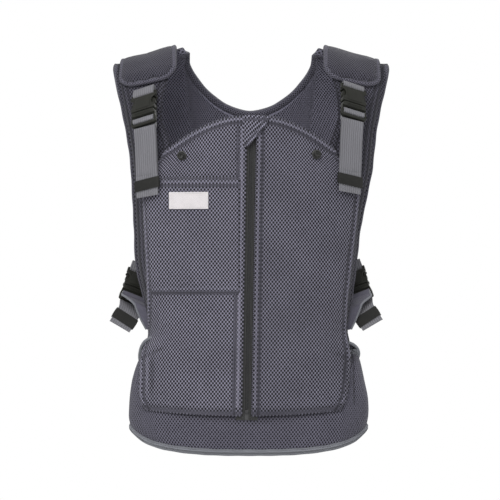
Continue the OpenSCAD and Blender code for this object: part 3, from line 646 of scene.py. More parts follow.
def strap_pt(side, q, v):
    bent = v > BEND
    t = np.clip((v - BEND) / (1 - BEND), 0, 0.99)
    z = np.where(bent, arch_level(t), lerp(STRAP_LOW, ARCH_Z, v / BEND))
    wide = half_w(side, z)
    d = lerp(wide, table(STRAP_IN, z), q)
    low = np.stack([side * d, front_y(d / wide, z), z], -1)
    return np.where(bent[..., None], arch_pt(side * d, front_y(d / wide, ARCH_Z), t), low)


def strap_surface(side):
    return (lambda u, v: strap_pt(LEFT, u, v)) if side < 0 else (lambda u, v: strap_pt(RIGHT, 1 - u, v))


def neck_z(x):
    inside = np.maximum(0, 1 - np.minimum(1, np.abs(x - NECK_X) / NECK_HALF) ** 1.85)
    return NECK_END_Z - NECK_DROP * inside ** 0.54


def neck_turn(c):
    level = np.minimum(0.99, (neck_z(c * 165) - ARCH_Z) / (apex_z(0) - ARCH_Z))
    return np.degrees(np.arcsin(level)) / 90


BACK_COLUMNS = ((0, 1), (0.16, 0.56), (0.32, 0.4), (0.5, 0), (0.68, -0.4), (0.84, -0.56), (1, -1))


def back_pt(c, v):
    p = v * (BEND + (1 - BEND) * np.minimum(0.99, neck_turn(c)))
    bent = p > BEND
    t = np.clip((p - BEND) / (1 - BEND), 0, 1)
    low_z = BACK_LOW + 32 * np.maximum(0, (np.abs(c) - 0.72) / 0.28) ** 1.6
    z = np.where(bent, arch_level(t), lerp(low_z, ARCH_Z, p / BEND))
    x = c * table(BACK_W, z)
    low = np.stack([x, back_y(np.abs(c)), z], -1)
    return np.where(bent[..., None], arch_pt(x, back_y(np.abs(c)), t, APEX_Y + BACK_SHIFT), low)


def back_surface(u, v):
    us, cs = zip(*BACK_COLUMNS)
    return back_pt(np.interp(u, us, cs), v)


def zip_x(z):
    return lerp(ZIP_TOP[0], ZIP_END[0], (ZIP_TOP[2] - z) / (ZIP_TOP[2] - ZIP_END[2]))


def panel_top(d):
    return -66 - 50 * (np.maximum(0, d - 17) / 100) ** 1.7


def panel_base(d):
    return PANEL_LOW + 10 * (d / 131) ** 2


def panel_pt(side, q, v):
    out = PANEL_LEFT if side < 0 else PANEL_RIGHT
    dt = lerp(ZIP_SHOW / 2, table(out, -60), q)
    z = lerp(panel_base(dt), panel_top(dt), v)
    return front_pt(zip_x(z) + side * lerp(ZIP_SHOW / 2, table(out, z), q), z)


def panel_surface(side):
    return (lambda u, v: panel_pt(LEFT, 1 - u, v)) if side < 0 else (lambda u, v: panel_pt(RIGHT, u, v))


def pocket_surface(u, v):
    z = lerp(-296, -146, v)
    return front_pt(lerp(-table(PANEL_LEFT, z) + 4, -13.5, u), z)


LABEL_X, LABEL_Z, LABEL_W, LABEL_H = -78.5, -175, 49, 21.5


def label_surface(u, v):
    return front_pt(LABEL_X + (u - 0.5) * LABEL_W, LABEL_Z + (v - 0.5) * LABEL_H)


BELT_FRONT = ((0, -457), (0.3, -453), (0.6, -447), (0.78, -438), (0.9, -385), (1, -374))
BELT_BACK = ((0, -391.5), (0.93, -391.5), (1, -374))


def belt_pt(a, v):
    """The belt, a running once around from the left side over the front, v from hem to top."""
    turn = (a - np.floor(a)) * 2 * math.pi
    front = turn < math.pi
    c = np.sin(np.where(front, turn - math.pi / 2, turn - 1.5 * math.pi))
    r = np.abs(c)
    low = np.where(front, -501 + 18 * r ** 3 + 14 * r ** 14, -471 + 2 * r ** 4)
    high = np.where(front, np.interp(r, *zip(*BELT_FRONT)), np.interp(r, *zip(*BELT_BACK)))
    z = lerp(low, high, v)
    x = np.where(front, c * half_w(c, z), -c * half_w(-c, z))
    return np.stack([x, np.where(front, front_y(r, z), back_y(r)), z], -1)


def belt_out(a, v):
    d = belt_pt(a + 0.004, v) - belt_pt(a - 0.004, v)
    return unit(np.stack([d[..., 1], -d[..., 0], np.zeros_like(d[..., 0])], -1))


def pad_pt(side, q, v):
    turn = 2 * v - 1
    t = 1 - np.abs(turn) * (1 - PAD_END)
    z = arch_level(t)
    d = lerp(PAD_OUT, PAD_IN, q)
    y0 = np.where(turn < 0, front_y(d / half_w(side, z), ARCH_Z), back_y(d / PAD_BACK_W))
    return arch_pt(side * d, y0, t, APEX_Y + BACK_SHIFT * v)


def pad_surface(side):
    return (lambda u, v: pad_pt(LEFT, u, v)) if side < 0 else (lambda u, v: pad_pt(RIGHT, 1 - u, v))


# ------------------------------------------------------------------ back panel, straps and belt

PAD_LAYERS = 10
u = np.unique(np.concatenate([np.linspace(0, 0.16, 34), np.linspace(0.16, 0.84, 62),
                              np.linspace(0.84, 1, 34)]))
g = Grid(back_surface, u, samples(520, 12, 1.5, 5.0), reference=len(u) // 2)
from_right, from_left, from_low, from_top = g.edge_gap()
to_edge = np.minimum(np.minimum(from_right, from_left), np.minimum(from_low, from_top))
pinch = np.clip(to_edge / 16, 0, 1) ** 0.5
panel_seam = np.abs(np.abs(g.x) - (58 + 26 * ((g.z + 220) / 200) ** 2))
yoke_seam = np.abs(g.z + 118 + 22 * (g.x / 120) ** 2)
seams = np.maximum(ridge(panel_seam, 0, 3.5) * (g.z < -60), ridge(yoke_seam, 0, 3.5))
wave = 0.9 * np.sin(g.z / 31 + 0.4) * np.sin(g.x / 43 + 1.1)
outer = -2.6 * (1 - pinch) - 2.3 * seams + wave * pinch * 0.6
# painted shade along the panel and yoke seams and in a band 7 mm in from the edge
shade = 0.7 * seams + 0.6 * ridge(to_edge, 7, 1.6)
back_outer = build("back_panel_outer", [slab(g, -7.6, outer - 0.2, crease=shade)], back_mesh)
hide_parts("back_cover", "back_foam")
inner = -7.9 - 1.9 * pinch + 0.8 * ridge(np.abs(g.x), 0, 60) * ridge(g.z, -150, 130)
# painted shade in two bands along the neck opening of the lining, a faint painted highlight between them, and
# painted shade on the rims
neckline_shade = 0.8 * ridge(from_top, 9.5, 1.5) - 0.3 * ridge(from_top, 5.5, 2.5) + 0.5 * ridge(from_top, 2.2, 1.2)
inner_shade = np.concatenate([np.zeros(g.x.size), (neckline_shade * (np.abs(g.x) < 96)).reshape(-1),
                              np.full(3 * (2 * sum(g.x.shape) - 4), 0.3)])
back_inner = build("back_panel_inner", [slab(g, inner, -7.8)[:3] + (inner_shade,)], inner_mesh)
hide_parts("back_lining")
back_grid = g

strap_grids = {}
for side in (LEFT, RIGHT):
    f = strap_surface(side)
    g = Grid(f, samples(48, 13, 1.2, 2.5), samples(430, 8, 2.0, 3.5))
    strap_grids[side] = g
    a, b, low, top = g.edge_gap()
    to_outer, to_inner = (a, b) if side < 0 else (b, a)
    near = np.minimum(np.minimum(a, b), 14)
    puff = np.clip(near / 12, 0, 1) ** 0.5
    piping = 0.9 * ridge(to_outer, 5, 3.6) - 1.3 * ridge(to_outer, 9.6, 1.9) + 0.35 * ridge(to_inner, 4, 3)
    channel = -0.9 * ridge(to_inner, 8.5, 1.6)
    height = -1.5 * (1 - puff) + piping + channel + 0.25 * np.sin(g.rise / 17 + side)
    border = half_w(side, g.z) - np.abs(g.x)
    # painted shade in the channel, along the inner edge and along the border lines, with a faint painted
    # highlight between the border lines
    shade = (0.8 * ridge(to_inner, 8.5, 1.9) + 0.9 * ridge(to_inner, 0, 2.4) + 1.15 * ridge(border, 6.2, 2.6)
             + 1.0 * ridge(border, 12.4, 2.4) - 0.15 * ridge(border, 9.2, 1.6) + 0.5 * ridge(border, 0, 4))
    cover = build("strap_outer_" + NAME[side],
                  [slab(g, -2.8, height - 0.3, bulge=1.2, crease=shade * (g.z > -352))], strap_mesh_painted_shade)
    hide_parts("strap_cover_" + NAME[side])
    inside = -3.2 - 6.5 * puff
    lining = build("strap_inner_" + NAME[side], [slab(g, inside, -3.0, bulge=0.6)], inner_mesh)
    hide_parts("strap_foam_" + NAME[side])

BELT_STEPS = 360
a = (np.arange(BELT_STEPS) + 0.5) / BELT_STEPS
belt_v = samples(90, 12, 1.6, 4.5)
A, V = np.meshgrid(a, belt_v)
belt_mid = belt_pt(A, V)
belt_n = belt_out(A, V)
rise = np.concatenate([np.zeros((1, BELT_STEPS)),
                       np.cumsum(np.linalg.norm(np.diff(belt_mid, axis=0), axis=-1), 0)])
gap_edge = np.minimum(rise, rise[-1:] - rise)
puff = np.clip(gap_edge / 12, 0, 1) ** 0.5
around = np.concatenate([[0], np.cumsum(np.linalg.norm(np.diff(belt_pt(a, 0.5), axis=0), axis=-1))])
front_side = belt_mid[..., 1] < 0
side_seam = ridge(np.abs(np.abs(belt_mid[..., 0]) - 136), 0, 1.6) * front_side * (belt_mid[..., 2] > -440)
ripple = 0.7 * np.sin(around / 26)[None] * np.sin(rise / 22) + 0.35 * np.sin(around / 11 + rise / 9)
belt_height = -1.6 * (1 - puff) - 1.0 * side_seam + ripple * puff * 0.5 - 0.3


def belt_layer(low, high):
    """The belt between two heights, as closed loops joined once around."""
    p_top = belt_mid + belt_n * np.broadcast_to(high, belt_mid.shape[:2])[..., None]
    p_low = belt_mid + belt_n * np.broadcast_to(low, belt_mid.shape[:2])[..., None]
    rows = len(belt_v)
    loops = np.concatenate([p_top, p_low[::-1]], 0)
    uv_one = np.stack(np.broadcast_arrays(around[None], rise + belt_mid[:1, :, 2]), -1)
    uv = np.concatenate([uv_one, uv_one[::-1]], 0)
    order = np.swapaxes(loops, 0, 1)
    top_gap = rise[-1:] - rise
    # painted shadow along the front of the belt's top, under the panels, and painted shade along the side
    # seams and the hem
    shade = 0.6 * ridge(top_gap, 0, 13) * front_side + 0.8 * side_seam + 0.3 * ridge(rise, 0, 7)
    shade = np.concatenate([shade, shade[::-1]], 0)
    return (order.reshape(-1, 3), ring_faces(BELT_STEPS, 2 * rows, wrap=True),
            np.swapaxes(uv, 0, 1), np.swapaxes(shade, 0, 1).reshape(-1))


belt_outer = build("belt_outer", [belt_layer(-8.0, belt_height)], belt_mesh)
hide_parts("belt_cover", "belt_foam")
belt_inner = build("belt_inner", [belt_layer(-8.2 - 1.7 * puff, -8.1)], inner_mesh)
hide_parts("belt_lining")

# ------------------------------------------------------------------ edge bindings

BIND_REACH, BIND_THICK, BIND_HALF = 3.35, 2.5, PAD_LAYERS / 2 + 0.6


def edge_tube(grid, index, reach=BIND_REACH, half=BIND_HALF, thick=BIND_THICK, middle=-PAD_LAYERS / 2,
              taper=0):
    """A folded binding over the edge of a grid given by its row and column indices."""
    p, n = grid.p[index], grid.n[index]
    path = p + n * middle
    out = unit(np.cross(np.gradient(path, axis=0), n))
    inside = grid.p[len(grid.p) // 2, grid.p.shape[1] // 2]
    if np.sum((p - inside) * out) < 0:
        out = -out
    along = run_length(path)
    beat = 1 + 0.04 * np.sin(along / 5.5)
    fade = 1 - 0.55 * np.clip(1 - (along[-1] - along) / taper, 0, 1) ** 2 if taper else np.ones(len(path))
    half_out = (thick + WRAP / 2) * beat * fade
    sunk = (reach - WRAP / 2 - 3.4 * (1 - fade))[:, None]
    wide = half * beat * (0.4 + 0.6 * fade)
    return tube(path + out * sunk, n, out, wide, half_out, 20, square=0.6), path, n, out


def along_edge(grid, which, start=0.0, end=1.0):
    rows, cols = grid.u.shape
    if which in ("first", "last"):
        i = np.arange(int(start * (rows - 1)), int(round(end * (rows - 1))) + 1)
        return i, np.full(len(i), 0 if which == "first" else cols - 1)
    j = np.arange(int(start * (cols - 1)), int(round(end * (cols - 1))) + 1)
    return np.full(len(j), rows - 1), j


WRAP = 4.0
thread_parts = []
tapes = []
for side in (LEFT, RIGHT):
    where = along_edge(strap_grids[side], "first" if side < 0 else "last", 0.02, 0.99)
    part, path, n, out = edge_tube(strap_grids[side], where, taper=16)
    tapes.append(part)
    thread_parts.append(stitches(path - out * 1.6 + n * 5.0, n))
armholes = build("armhole_tapes", tapes, rolled_mesh)
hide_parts("armhole_bindings")

columns = np.unique(np.round(np.linspace(0.24, 0.76, 90) * (back_grid.u.shape[1] - 1)).astype(int))
part, path, n, out = edge_tube(back_grid, (np.full(len(columns), len(back_grid.p) - 1), columns))
neck = build("neck_tape", [part], rolled_mesh)
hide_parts("neck_binding")
thread_parts.append(stitches(path - out * 1.8 - n * 5.0, -n))


def belt_tube(first, last, count, v, lift, wrap=False):
    s = np.linspace(first, last, count, endpoint=not wrap)
    out = belt_out(s, v)
    up = np.zeros_like(out)
    up[:, 2] = 1
    path = belt_pt(s, v) - out * PAD_LAYERS / 2 + up * (lift - math.copysign(WRAP / 2, lift))
    beat = 1 + 0.03 * np.sin(run_length(path) / 4.5)
    part = tube(path, out, up, BIND_HALF * beat, (2.7 + WRAP / 2) * beat, 20, wrap=wrap, square=0.6)
    return part, path, out, up


HEM_STEPS = 300
part, path, out, up = belt_tube(0.5 / HEM_STEPS, 1 + 0.5 / HEM_STEPS, HEM_STEPS, 0, -3.3, wrap=True)
hem = build("hem_tape", [part], hem_cloth)
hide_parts("hem_binding")
thread_parts.append(stitches(path + up * 1.7 + out * 5.5, out))
tapes = []
for first, last in ((0.474, 0.55), (0.954, 1.026)):
    part, path, out, up = belt_tube(first, last, 40, 1, 3.4)
    tapes.append(part)
    thread_parts.append(stitches(path - up * 1.7 + out * 5.5, out))
WAIST_ARCS = {
    LEFT: [(-140, -36, -389), (-143.8, -38, -384), (-144.4, -39, -376), (-142.5, -42, -367),
           (-138.6, -46, -360), (-133, -50, -355.5), (-127, -52, -353)],
    RIGHT: [(136, -38, -384), (140.5, -38, -381), (142.4, -39, -375), (140.6, -42, -368.5),
            (136.6, -46, -364), (131.4, -50, -361), (125, -52, -359)]}
gussets = []
for side in (LEFT, RIGHT):
    arc = smooth_path(WAIST_ARCS[side], 5)
    ahead = unit(np.gradient(arc, axis=0))
    level = unit(np.cross(ahead, np.tile([0, 1.0, 0], (len(arc), 1))))
    tapes.append(tube(arc, level, np.cross(ahead, level), 2.0, 3.2, 16, square=0.7))
    edge_line = arc + np.array([0, 5.0, 0])
    tucked = edge_line + np.array([-side * 13.0, -3, -5])
    count = len(arc)

    def gusset(uu, vv, one=edge_line, two=tucked, count=count):
        at = vv * (count - 1)
        a = np.stack([np.interp(at, np.arange(count), one[:, k]) for k in range(3)], -1)
        b = np.stack([np.interp(at, np.arange(count), two[:, k]) for k in range(3)], -1)
        return a + (b - a) * uu[..., None]

    g = Grid(gusset, np.linspace(0, 1, 10), np.linspace(0, 1, 24))
    # painted shade: the tucked gusset is darkened nearly to black, for the shade in the hollow of the waist
    # dart
    gussets.append(slab(g, -0.7, 0.7, bulge=0.4, crease=np.full(g.u.shape, 0.95)))
hollow = build("waist_gussets", gussets, inner_mesh)
side_tapes = build("side_tapes", tapes, hem_cloth)
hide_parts("side_bindings")

# ------------------------------------------------------------------ front panels, pocket and label



def seam_shade(gap, groove, piping, edge):
    """Painted shade in the stitched groove, a painted highlight on the piping, painted shade at the edge; each
    as (amount, place, width).
    """
    (dark, at, wide), (light, top_at, top_wide), (rim, rim_wide) = groove, piping, edge
    return dark * ridge(gap, at, wide) - light * ridge(gap, top_at, top_wide) + rim * ridge(gap, 0, rim_wide)


for side in (LEFT, RIGHT):
    g = Grid(panel_surface(side), samples(142, 12, 1.1, 3.2), samples(385, 12, 1.2, 3.6))
    a, b, low, top = g.edge_gap()
    to_out, to_zip = (a, b) if side < 0 else (b, a)
    shift = g.x[0, 0] if side > 0 else g.x[0, -1] - g.width
    g.uv = np.stack([a + shift, g.rise + g.z[:1]], -1)
    piping = 1.5 * ridge(top, 3.2, 3.4) - 1.2 * ridge(top, 7.6, 1.7)
    side_fold = 1.1 * ridge(to_out, 3.2, 3.2) - 1.1 * ridge(to_out, 7.2, 1.6)
    if side < 0:
        placket = 1.5 * ridge(to_zip, 3.6, 4.2) - 1.2 * ridge(to_zip, 8.6, 1.7)
    else:
        placket = 1.3 * ridge(to_zip, 2.8, 3.2) - 1.1 * ridge(to_zip, 6.9, 1.6)
    foot = -1.6 * ridge(low, 0, 5) + 0.9 * ridge(low, 8, 7)
    zdart = -381 + (g.x + 140) * 0.5 if side < 0 else -383 + (g.x - 130) * -0.45
    reach = np.clip((np.abs(g.x) - 105) / 14, 0, 1) * (np.abs(g.x) > 105)
    dart = -1.8 * ridge(g.z - zdart, 0, 2.6) * reach
    pleat_x = 134 if side < 0 else 130.5
    crease = 1.0 * ridge(np.abs(g.x), pleat_x - 4, 5) * ridge(g.z, -398, 46)
    billow = (1.3 * np.sin(g.z / 60 + 1.2) * np.sin(np.abs(g.x) / 34)
              + 0.5 * np.sin(g.z / 19 + np.abs(g.x) / 23))
    calm = np.clip(np.minimum(np.minimum(a, b), np.minimum(low, top)) / 18, 0, 1)
    loose = 1.3 if side > 0 else 0.5 + 0.8 * np.clip((-298 - g.z) / 20, 0, 1)
    height = (piping + side_fold * (top > 12) + placket * np.clip((top - 30) / 16, 0.2, 1) + foot + dart
              + crease + billow * calm * loose)
    above = np.clip((top - 10) / 6, 0, 1)
    # painted shade in the stitched grooves, at the edges, along the bottom seam, in the darts and beside the
    # pleat, with faint painted highlights on the pipings and the pleat
    shade = seam_shade(top, (1.2, 8, 3.4), (0.12, 3.6, 2.4), (0.6, 1.5))
    shade += seam_shade(to_out, (1.2, 7.8, 3.4), (0.12, 3.6, 2.4), (0.5, 1.5)) * above
    zip_groove, zip_piping = (9.8, (0.11, 4.8, 3)) if side < 0 else (7.8, (0.11, 3.4, 2.4))
    shade += seam_shade(to_zip, (1.15, zip_groove, 3.2), zip_piping, (0.5, 1.6)) * above
    shade += 0.75 * ridge(low, 1, 11) + 0.9 * ridge(g.z - zdart, 0, 2.1) * reach
    shade += 0.7 * ridge(np.abs(g.x), pleat_x - 8, 4.5) * ridge(g.z, -400, 42)
    shade -= 0.08 * ridge(np.abs(g.x), pleat_x - 2, 4) * ridge(g.z, -400, 42)
    face = slab(g, PANEL_RISE, PANEL_RISE + PANEL_T - 0.5 + height * 0.75, bulge=1.4, crease=shade)
    skin = build("front_panel_skin_" + NAME[side], [face], front_mesh if side < 0 else right_mesh_painted_shade)
    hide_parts("front_panel_" + NAME[side])

g = Grid(pocket_surface, samples(130, 10, 1.2, 3.2), samples(150, 10, 1.1, 3.2))
a, b, low, top = g.edge_gap()
shift = g.x[0, -1] - g.width
g.uv = np.stack([a + shift + 0.9, g.rise + g.z[:1] + 1.4], -1)
hem_fold = 0.9 * ridge(top, 2.6, 2.8) - 0.9 * ridge(top, 9.2, 1.6) + 0.4 * (top < 9)
sewn = -1.3 * ridge(low, 0, 4.5) - 0.6 * ridge(a, 0, 5) - 0.8 * ridge(b, 0, 4)
billow = 0.6 + np.sin(g.z / 41) * np.sin(g.x / 27 + 0.7) + 1.8 * ridge(top, 0, 60) * ridge(a - 62, 0, 55)
calm = np.clip(np.minimum(np.minimum(a, b), low) / 16, 0, 1)
# painted shade along the hem fold, the top edge, the sewn bottom and sides, with faint painted highlights
# between them
shade = (1.0 * ridge(top, 0, 3) + 1.15 * ridge(top, 9.8, 3.2) - 0.07 * ridge(top, 5, 2.5)
         + 1.15 * ridge(low, 1.2, 4.4) - 0.04 * ridge(low, 6.5, 3) + 0.75 * ridge(a, 0.5, 2.2)
         + 0.6 * ridge(b, 0.5, 1.8))
pocket_high = PANEL_OUT + POCKET_T - 0.5 + (hem_fold + sewn + billow * calm) * 0.8
pocket = build("pocket_skin", [slab(g, PANEL_OUT - 0.3, pocket_high, bulge=0.9, crease=shade)], front_mesh)
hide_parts("pocket_panel")

label_low = PANEL_OUT + POCKET_T + GAP + 0.7
g = Grid(label_surface, samples(LABEL_W, 3, 0.8, 2.0), samples(LABEL_H, 3, 0.8, 2.0))
a, b, low, top = g.edge_gap()
near = np.minimum(np.minimum(a, b), np.minimum(low, top))
curl = 0.16 * np.sin(g.x / 7) * np.sin(g.z / 5) + 0.35 * ridge(near, 0, 1.8)
label = build("label_tag", [slab(g, label_low - 0.2, label_low + 0.55 + curl, bulge=0.3)], label_cloth)
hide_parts("label")


def label_thread(uu, vv):
    path, forward = label_surface(uu, vv), np.array([0, -1.0, 0])
    return stitches(path + forward * (label_low + 0.85), np.tile(forward, (len(path), 1)), 2.1, 1.4, 0.16)


label_stitches = []
for across, upright in ((0.075, 0.03), (0.925, 0.97)):
    label_stitches.append(label_thread(np.linspace(0.035, 0.965, 30), np.full(30, across)))
    label_stitches.append(label_thread(np.full(16, upright), np.linspace(0.09, 0.91, 16)))
label_seam = build("label_stitching", label_stitches, white_thread)

# ------------------------------------------------------------------ zipper

zip_down = unit(ZIP_END - ZIP_TOP)
zip_len = float(np.linalg.norm(ZIP_END - ZIP_TOP))
zip_up = -zip_down
zip_in = unit(np.cross(zip_up, [1, 0, 0]))
zip_cross = np.cross(zip_in, zip_up)


def on_zip(x, y, z):
    """A point of the zipper's frame: X to the right, Y towards the wearer, Z up from its top."""
    x, y, z = np.broadcast_arrays(np.asarray(x, float), y, z)
    return ZIP_TOP + x[..., None] * zip_cross + y[..., None] * zip_in + z[..., None] * zip_up


TAPE_W, TAPE_T, COIL_HALF = 11.5, 0.8, 2.2
TUCK = 8  # how far the tapes run past the zipper's lower end; the last few mm lie in front of the belt
for side in (LEFT, RIGHT):
    inner_x, outer_x = side * (COIL_HALF + 0.2), side * (COIL_HALF + 0.2 + TAPE_W)
    lo_x, hi_x = min(inner_x, outer_x), max(inner_x, outer_x)

    def tape(uu, vv, lo_x=lo_x, hi_x=hi_x):
        return on_zip(lerp(lo_x, hi_x, uu), GAP, lerp(-zip_len - TUCK, 0, vv))

    g = Grid(tape, np.linspace(0, 1, 40), np.linspace(0, 1, 60))
    ribs = 0.34 * np.cos(g.run * 2 * math.pi / 2.1)
    band_part = slab(g, -TAPE_T, -0.2 + ribs, bulge=0.2)
    tape_piece = build("zipper_tape_" + NAME[side], [band_part], zip_cloth)
    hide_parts("zip_tape_" + NAME[side])

coils, teeth = [], []
PITCH, PER_TURN = 1.7, 8
first_z, last_z = -8.0, -zip_len + 5.2
turns = int((first_z - last_z) / PITCH)
for side, phase in ((LEFT, 0.0), (RIGHT, math.pi)):
    angle = np.arange(turns * PER_TURN) * 2 * math.pi / PER_TURN + phase
    z = first_z - np.arange(turns * PER_TURN) * PITCH / PER_TURN
    y = GAP + TAPE_T / 2 + 0.75 * np.sin(angle)
    # the meshed middle, and the part of each coil that stays on its tape
    for parts, middle, reach, r in ((coils, 0.35, 0.5, 0.38), (teeth, 1.85, 0.3, 0.3)):
        path = on_zip(side * middle + reach * np.cos(angle), y, z)
        along = unit(np.gradient(path, axis=0))
        first = unit(np.cross(along, np.tile(zip_up, (len(path), 1))))
        parts.append(tube(path, first, np.cross(along, first), r, r, 6))
core = Grid(lambda uu, vv: on_zip(lerp(-2.9, 2.9, uu), GAP + TAPE_T + 0.68, lerp(last_z, first_z, vv)),
            np.linspace(0, 1, 9), np.linspace(0, 1, 40))
coils.append(slab(core, -0.2, 0.1, bulge=0.1))
coil = build("zipper_coil", coils, coil_plastic, sharp=80)
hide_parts("zip_coils")
metres(on_zip(0, 0, last_z))
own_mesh(coil)
foot = Grid(lambda uu, vv: on_zip(lerp(-4, 4, uu), GAP + TAPE_T + 0.25, lerp(-zip_len - TUCK, last_z, vv)),
            np.linspace(0, 1, 9), np.linspace(0, 1, 9))
teeth.append(slab(foot, -0.2, 0.1, bulge=0.1))
rims = build("zipper_teeth", teeth, coil_plastic, sharp=80)

for node in ("zip_slider", "zip_pull", "zip_stops"):
    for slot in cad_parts[node].material_slots:
        slot.material = black_metal

GARAGE = [(-1, 1.6), (33, 1.0), (33.6, -2), (28, -12), (20, -22), (9, -36.5), (3.5, -39.5), (-1, -40)]
edge = smooth_path([GARAGE[1], GARAGE[2], GARAGE[3], GARAGE[4], GARAGE[5], GARAGE[6]], 6)


def garage_surface(uu, vv):
    """The zipper flap, u from its sewn side to its free edge, v down to up."""
    z = lerp(-40.0, 1.4, vv)
    right = np.interp(z, edge[::-1, 1], edge[::-1, 0])
    x = lerp(0.9, right, uu)
    arch = 1.5 * np.sin(np.clip(x / 33, 0, 1) * math.pi) * np.clip(-z / 10, 0.2, 1) ** 0.5
    lift = PANEL_OUT + GAP + 0.25 + 0.65 * np.clip(x / 6, 0, 1) + arch
    lift = lift - 0.5 * uu ** 6
    return on_zip(x - ZIP_SHOW / 2 - 4, -lift, z)


g = Grid(garage_surface, samples(30, 6, 1.2, 2.2), samples(41, 6, 1.2, 2.2))
a, b, low, top = g.edge_gap()
rim_roll = (0.5 * ridge(b, 1.8, 2.0) - 0.4 * ridge(b, 4.4, 1.4) + 0.5 * ridge(top, 1.8, 2.0)
            - 0.4 * ridge(top, 4.4, 1.4))
g.uv = np.stack([a + 1.7, g.rise + g.z[:1] * 0], -1)
# painted shade 5 mm in from the free edge and from the top, and at the free edge, with a faint painted
# highlight on the rolled free edge
rim_shade = (1.1 * ridge(b, 5, 2.2) + 1.1 * ridge(top, 5, 2.2) + 0.8 * ridge(b, 0, 1.6)
             - 0.15 * ridge(b, 2.4, 1.6))
thin = 0.08 + 0.92 * np.clip(a / 5, 0, 1)
garage = build("zipper_flap", [slab(g, -0.2, (1.1 + rim_roll) * thin, bulge=0.5, crease=rim_shade)],
               front_mesh, body="zip_garage")
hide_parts("zip_garage")
# the flap's hinge, and the angle to which the pull pushes it open
GARAGE_HINGE, GARAGE_OPEN = on_zip(-ZIP_SHOW / 2 - 4, -(PANEL_OUT + GAP), -20.0), math.radians(33)
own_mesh(garage)

# ------------------------------------------------------------------ snaps


def lathe(profile, origin, out, n=48):
    """A turned piece from (radius, height) points around an axis."""
    out = unit(out)
    x = unit(np.cross([0, 0, 1.0], out))
    y = np.cross(out, x)
    turn = np.arange(n) * 2 * math.pi / n
    rings = [origin + out * h + r * (np.cos(turn)[:, None] * x + np.sin(turn)[:, None] * y)
             for r, h in profile]
    along = run_length(np.array(profile, float))
    uv = np.stack(np.broadcast_arrays(turn[None] * 3, along[:, None]), -1)
    return np.concatenate(rings), ring_faces(len(rings), n), uv


SNAP_PROFILE = [(6.2, -0.3), (6.25, 0.35), (6.05, 0.85), (5.6, 1.1), (5.1, 1.15), (4.9, 1.6), (4.85, 2.7),
                (4.6, 3.15), (4.3, 3.3), (4.05, 3.1), (3.9, 1.7), (3.35, 1.6), (3.2, 3.2), (3.0, 3.6),
                (2.7, 3.75), (2.4, 3.65), (2.15, 3.3), (2.1, 0.95), (1.0, 0.85)]
SNAP_PATCH = np.array([0.46, 0.5, 0.54])
snap_parts = []
for x, z in ((-88, -116.6), (86, -115)):
    near = Grid(lambda uu, vv: front_pt(x + (uu - 0.5) * 8, z + (vv - 0.5) * 8), SNAP_PATCH, SNAP_PATCH)
    snap_parts.append(lathe(SNAP_PROFILE, near.p[1, 1] + near.n[1, 1] * (PANEL_OUT + 0.2), near.n[1, 1]))
snaps = build("snap_pair", snap_parts, snap_plastic, sharp=30)
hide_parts("snap_sockets")

# ------------------------------------------------------------------ shoulder pads


def round_corners(s, t, wide, long, r):
    """Moves grid shares so that the corners of a wide by long patch get radius r."""
    x, y = (s - 0.5) * wide, (t - 0.5) * long
    dx, dy = np.abs(x) - (wide / 2 - r), np.abs(y) - (long / 2 - r)
    corner = (dx > 0) & (dy > 0)
    a, b = np.clip(dx / r, 0, 1), np.clip(dy / r, 0, 1)
    shrink = np.where(corner, np.maximum(a, b) / np.maximum(np.hypot(a, b), 1e-9), 1)
    nx = np.where(corner, np.sign(x) * (wide / 2 - r + a * r * shrink), x)
    ny = np.where(corner, np.sign(y) * (long / 2 - r + b * r * shrink), y)
    return nx / wide + 0.5, ny / long + 0.5


PAD_W, PAD_L, PAD_CORNER = 78.0, 215.0, 20.0
PAD_TOP, PAD_LOW = 10.4, 1.0
CLOTH_FRAMES = 20
CLOTH_CAP = 0.005


def blow_up(points, faces):
    """Puffs a closed form with a short cloth simulation and returns its new mesh."""
    mesh = bpy.data.meshes.new("cloth_start")
    mesh.from_pydata((points * 0.001).tolist(), [], faces)
    body = bpy.data.objects.new("cloth_start", mesh)
    bpy.context.scene.collection.objects.link(body)
    remesh = body.modifiers.new("remesh", "REMESH")
    remesh.mode = "VOXEL"
    remesh.voxel_size = 0.004
    graph = bpy.context.evaluated_depsgraph_get()
    start = bpy.data.meshes.new_from_object(body.evaluated_get(graph))
    body.modifiers.clear()
    body.data = start
    rest = np.array([v.co for v in start.vertices])
    cloth = body.modifiers.new("cloth", "CLOTH")
    cloth.settings.use_pressure = True
    cloth.settings.uniform_pressure_force = 4
    cloth.settings.effector_weights.gravity = 0
    cloth.settings.quality = 5
    cloth.point_cache.frame_start = 1
    cloth.point_cache.frame_end = CLOTH_FRAMES
    scene = bpy.context.scene
    for step in range(1, CLOTH_FRAMES + 1):
        scene.frame_set(step)
    graph = bpy.context.evaluated_depsgraph_get()
    done = bpy.data.meshes.new_from_object(body.evaluated_get(graph))
    moved = np.array([v.co for v in done.vertices]) - rest
    size = np.linalg.norm(moved, axis=1, keepdims=True)
    new = rest + moved * np.minimum(1, CLOTH_CAP / np.maximum(size, 1e-9))
    bpy.data.objects.remove(body)
    scene.frame_set(1)
    return new * 1000, [tuple(p.vertices) for p in done.polygons]


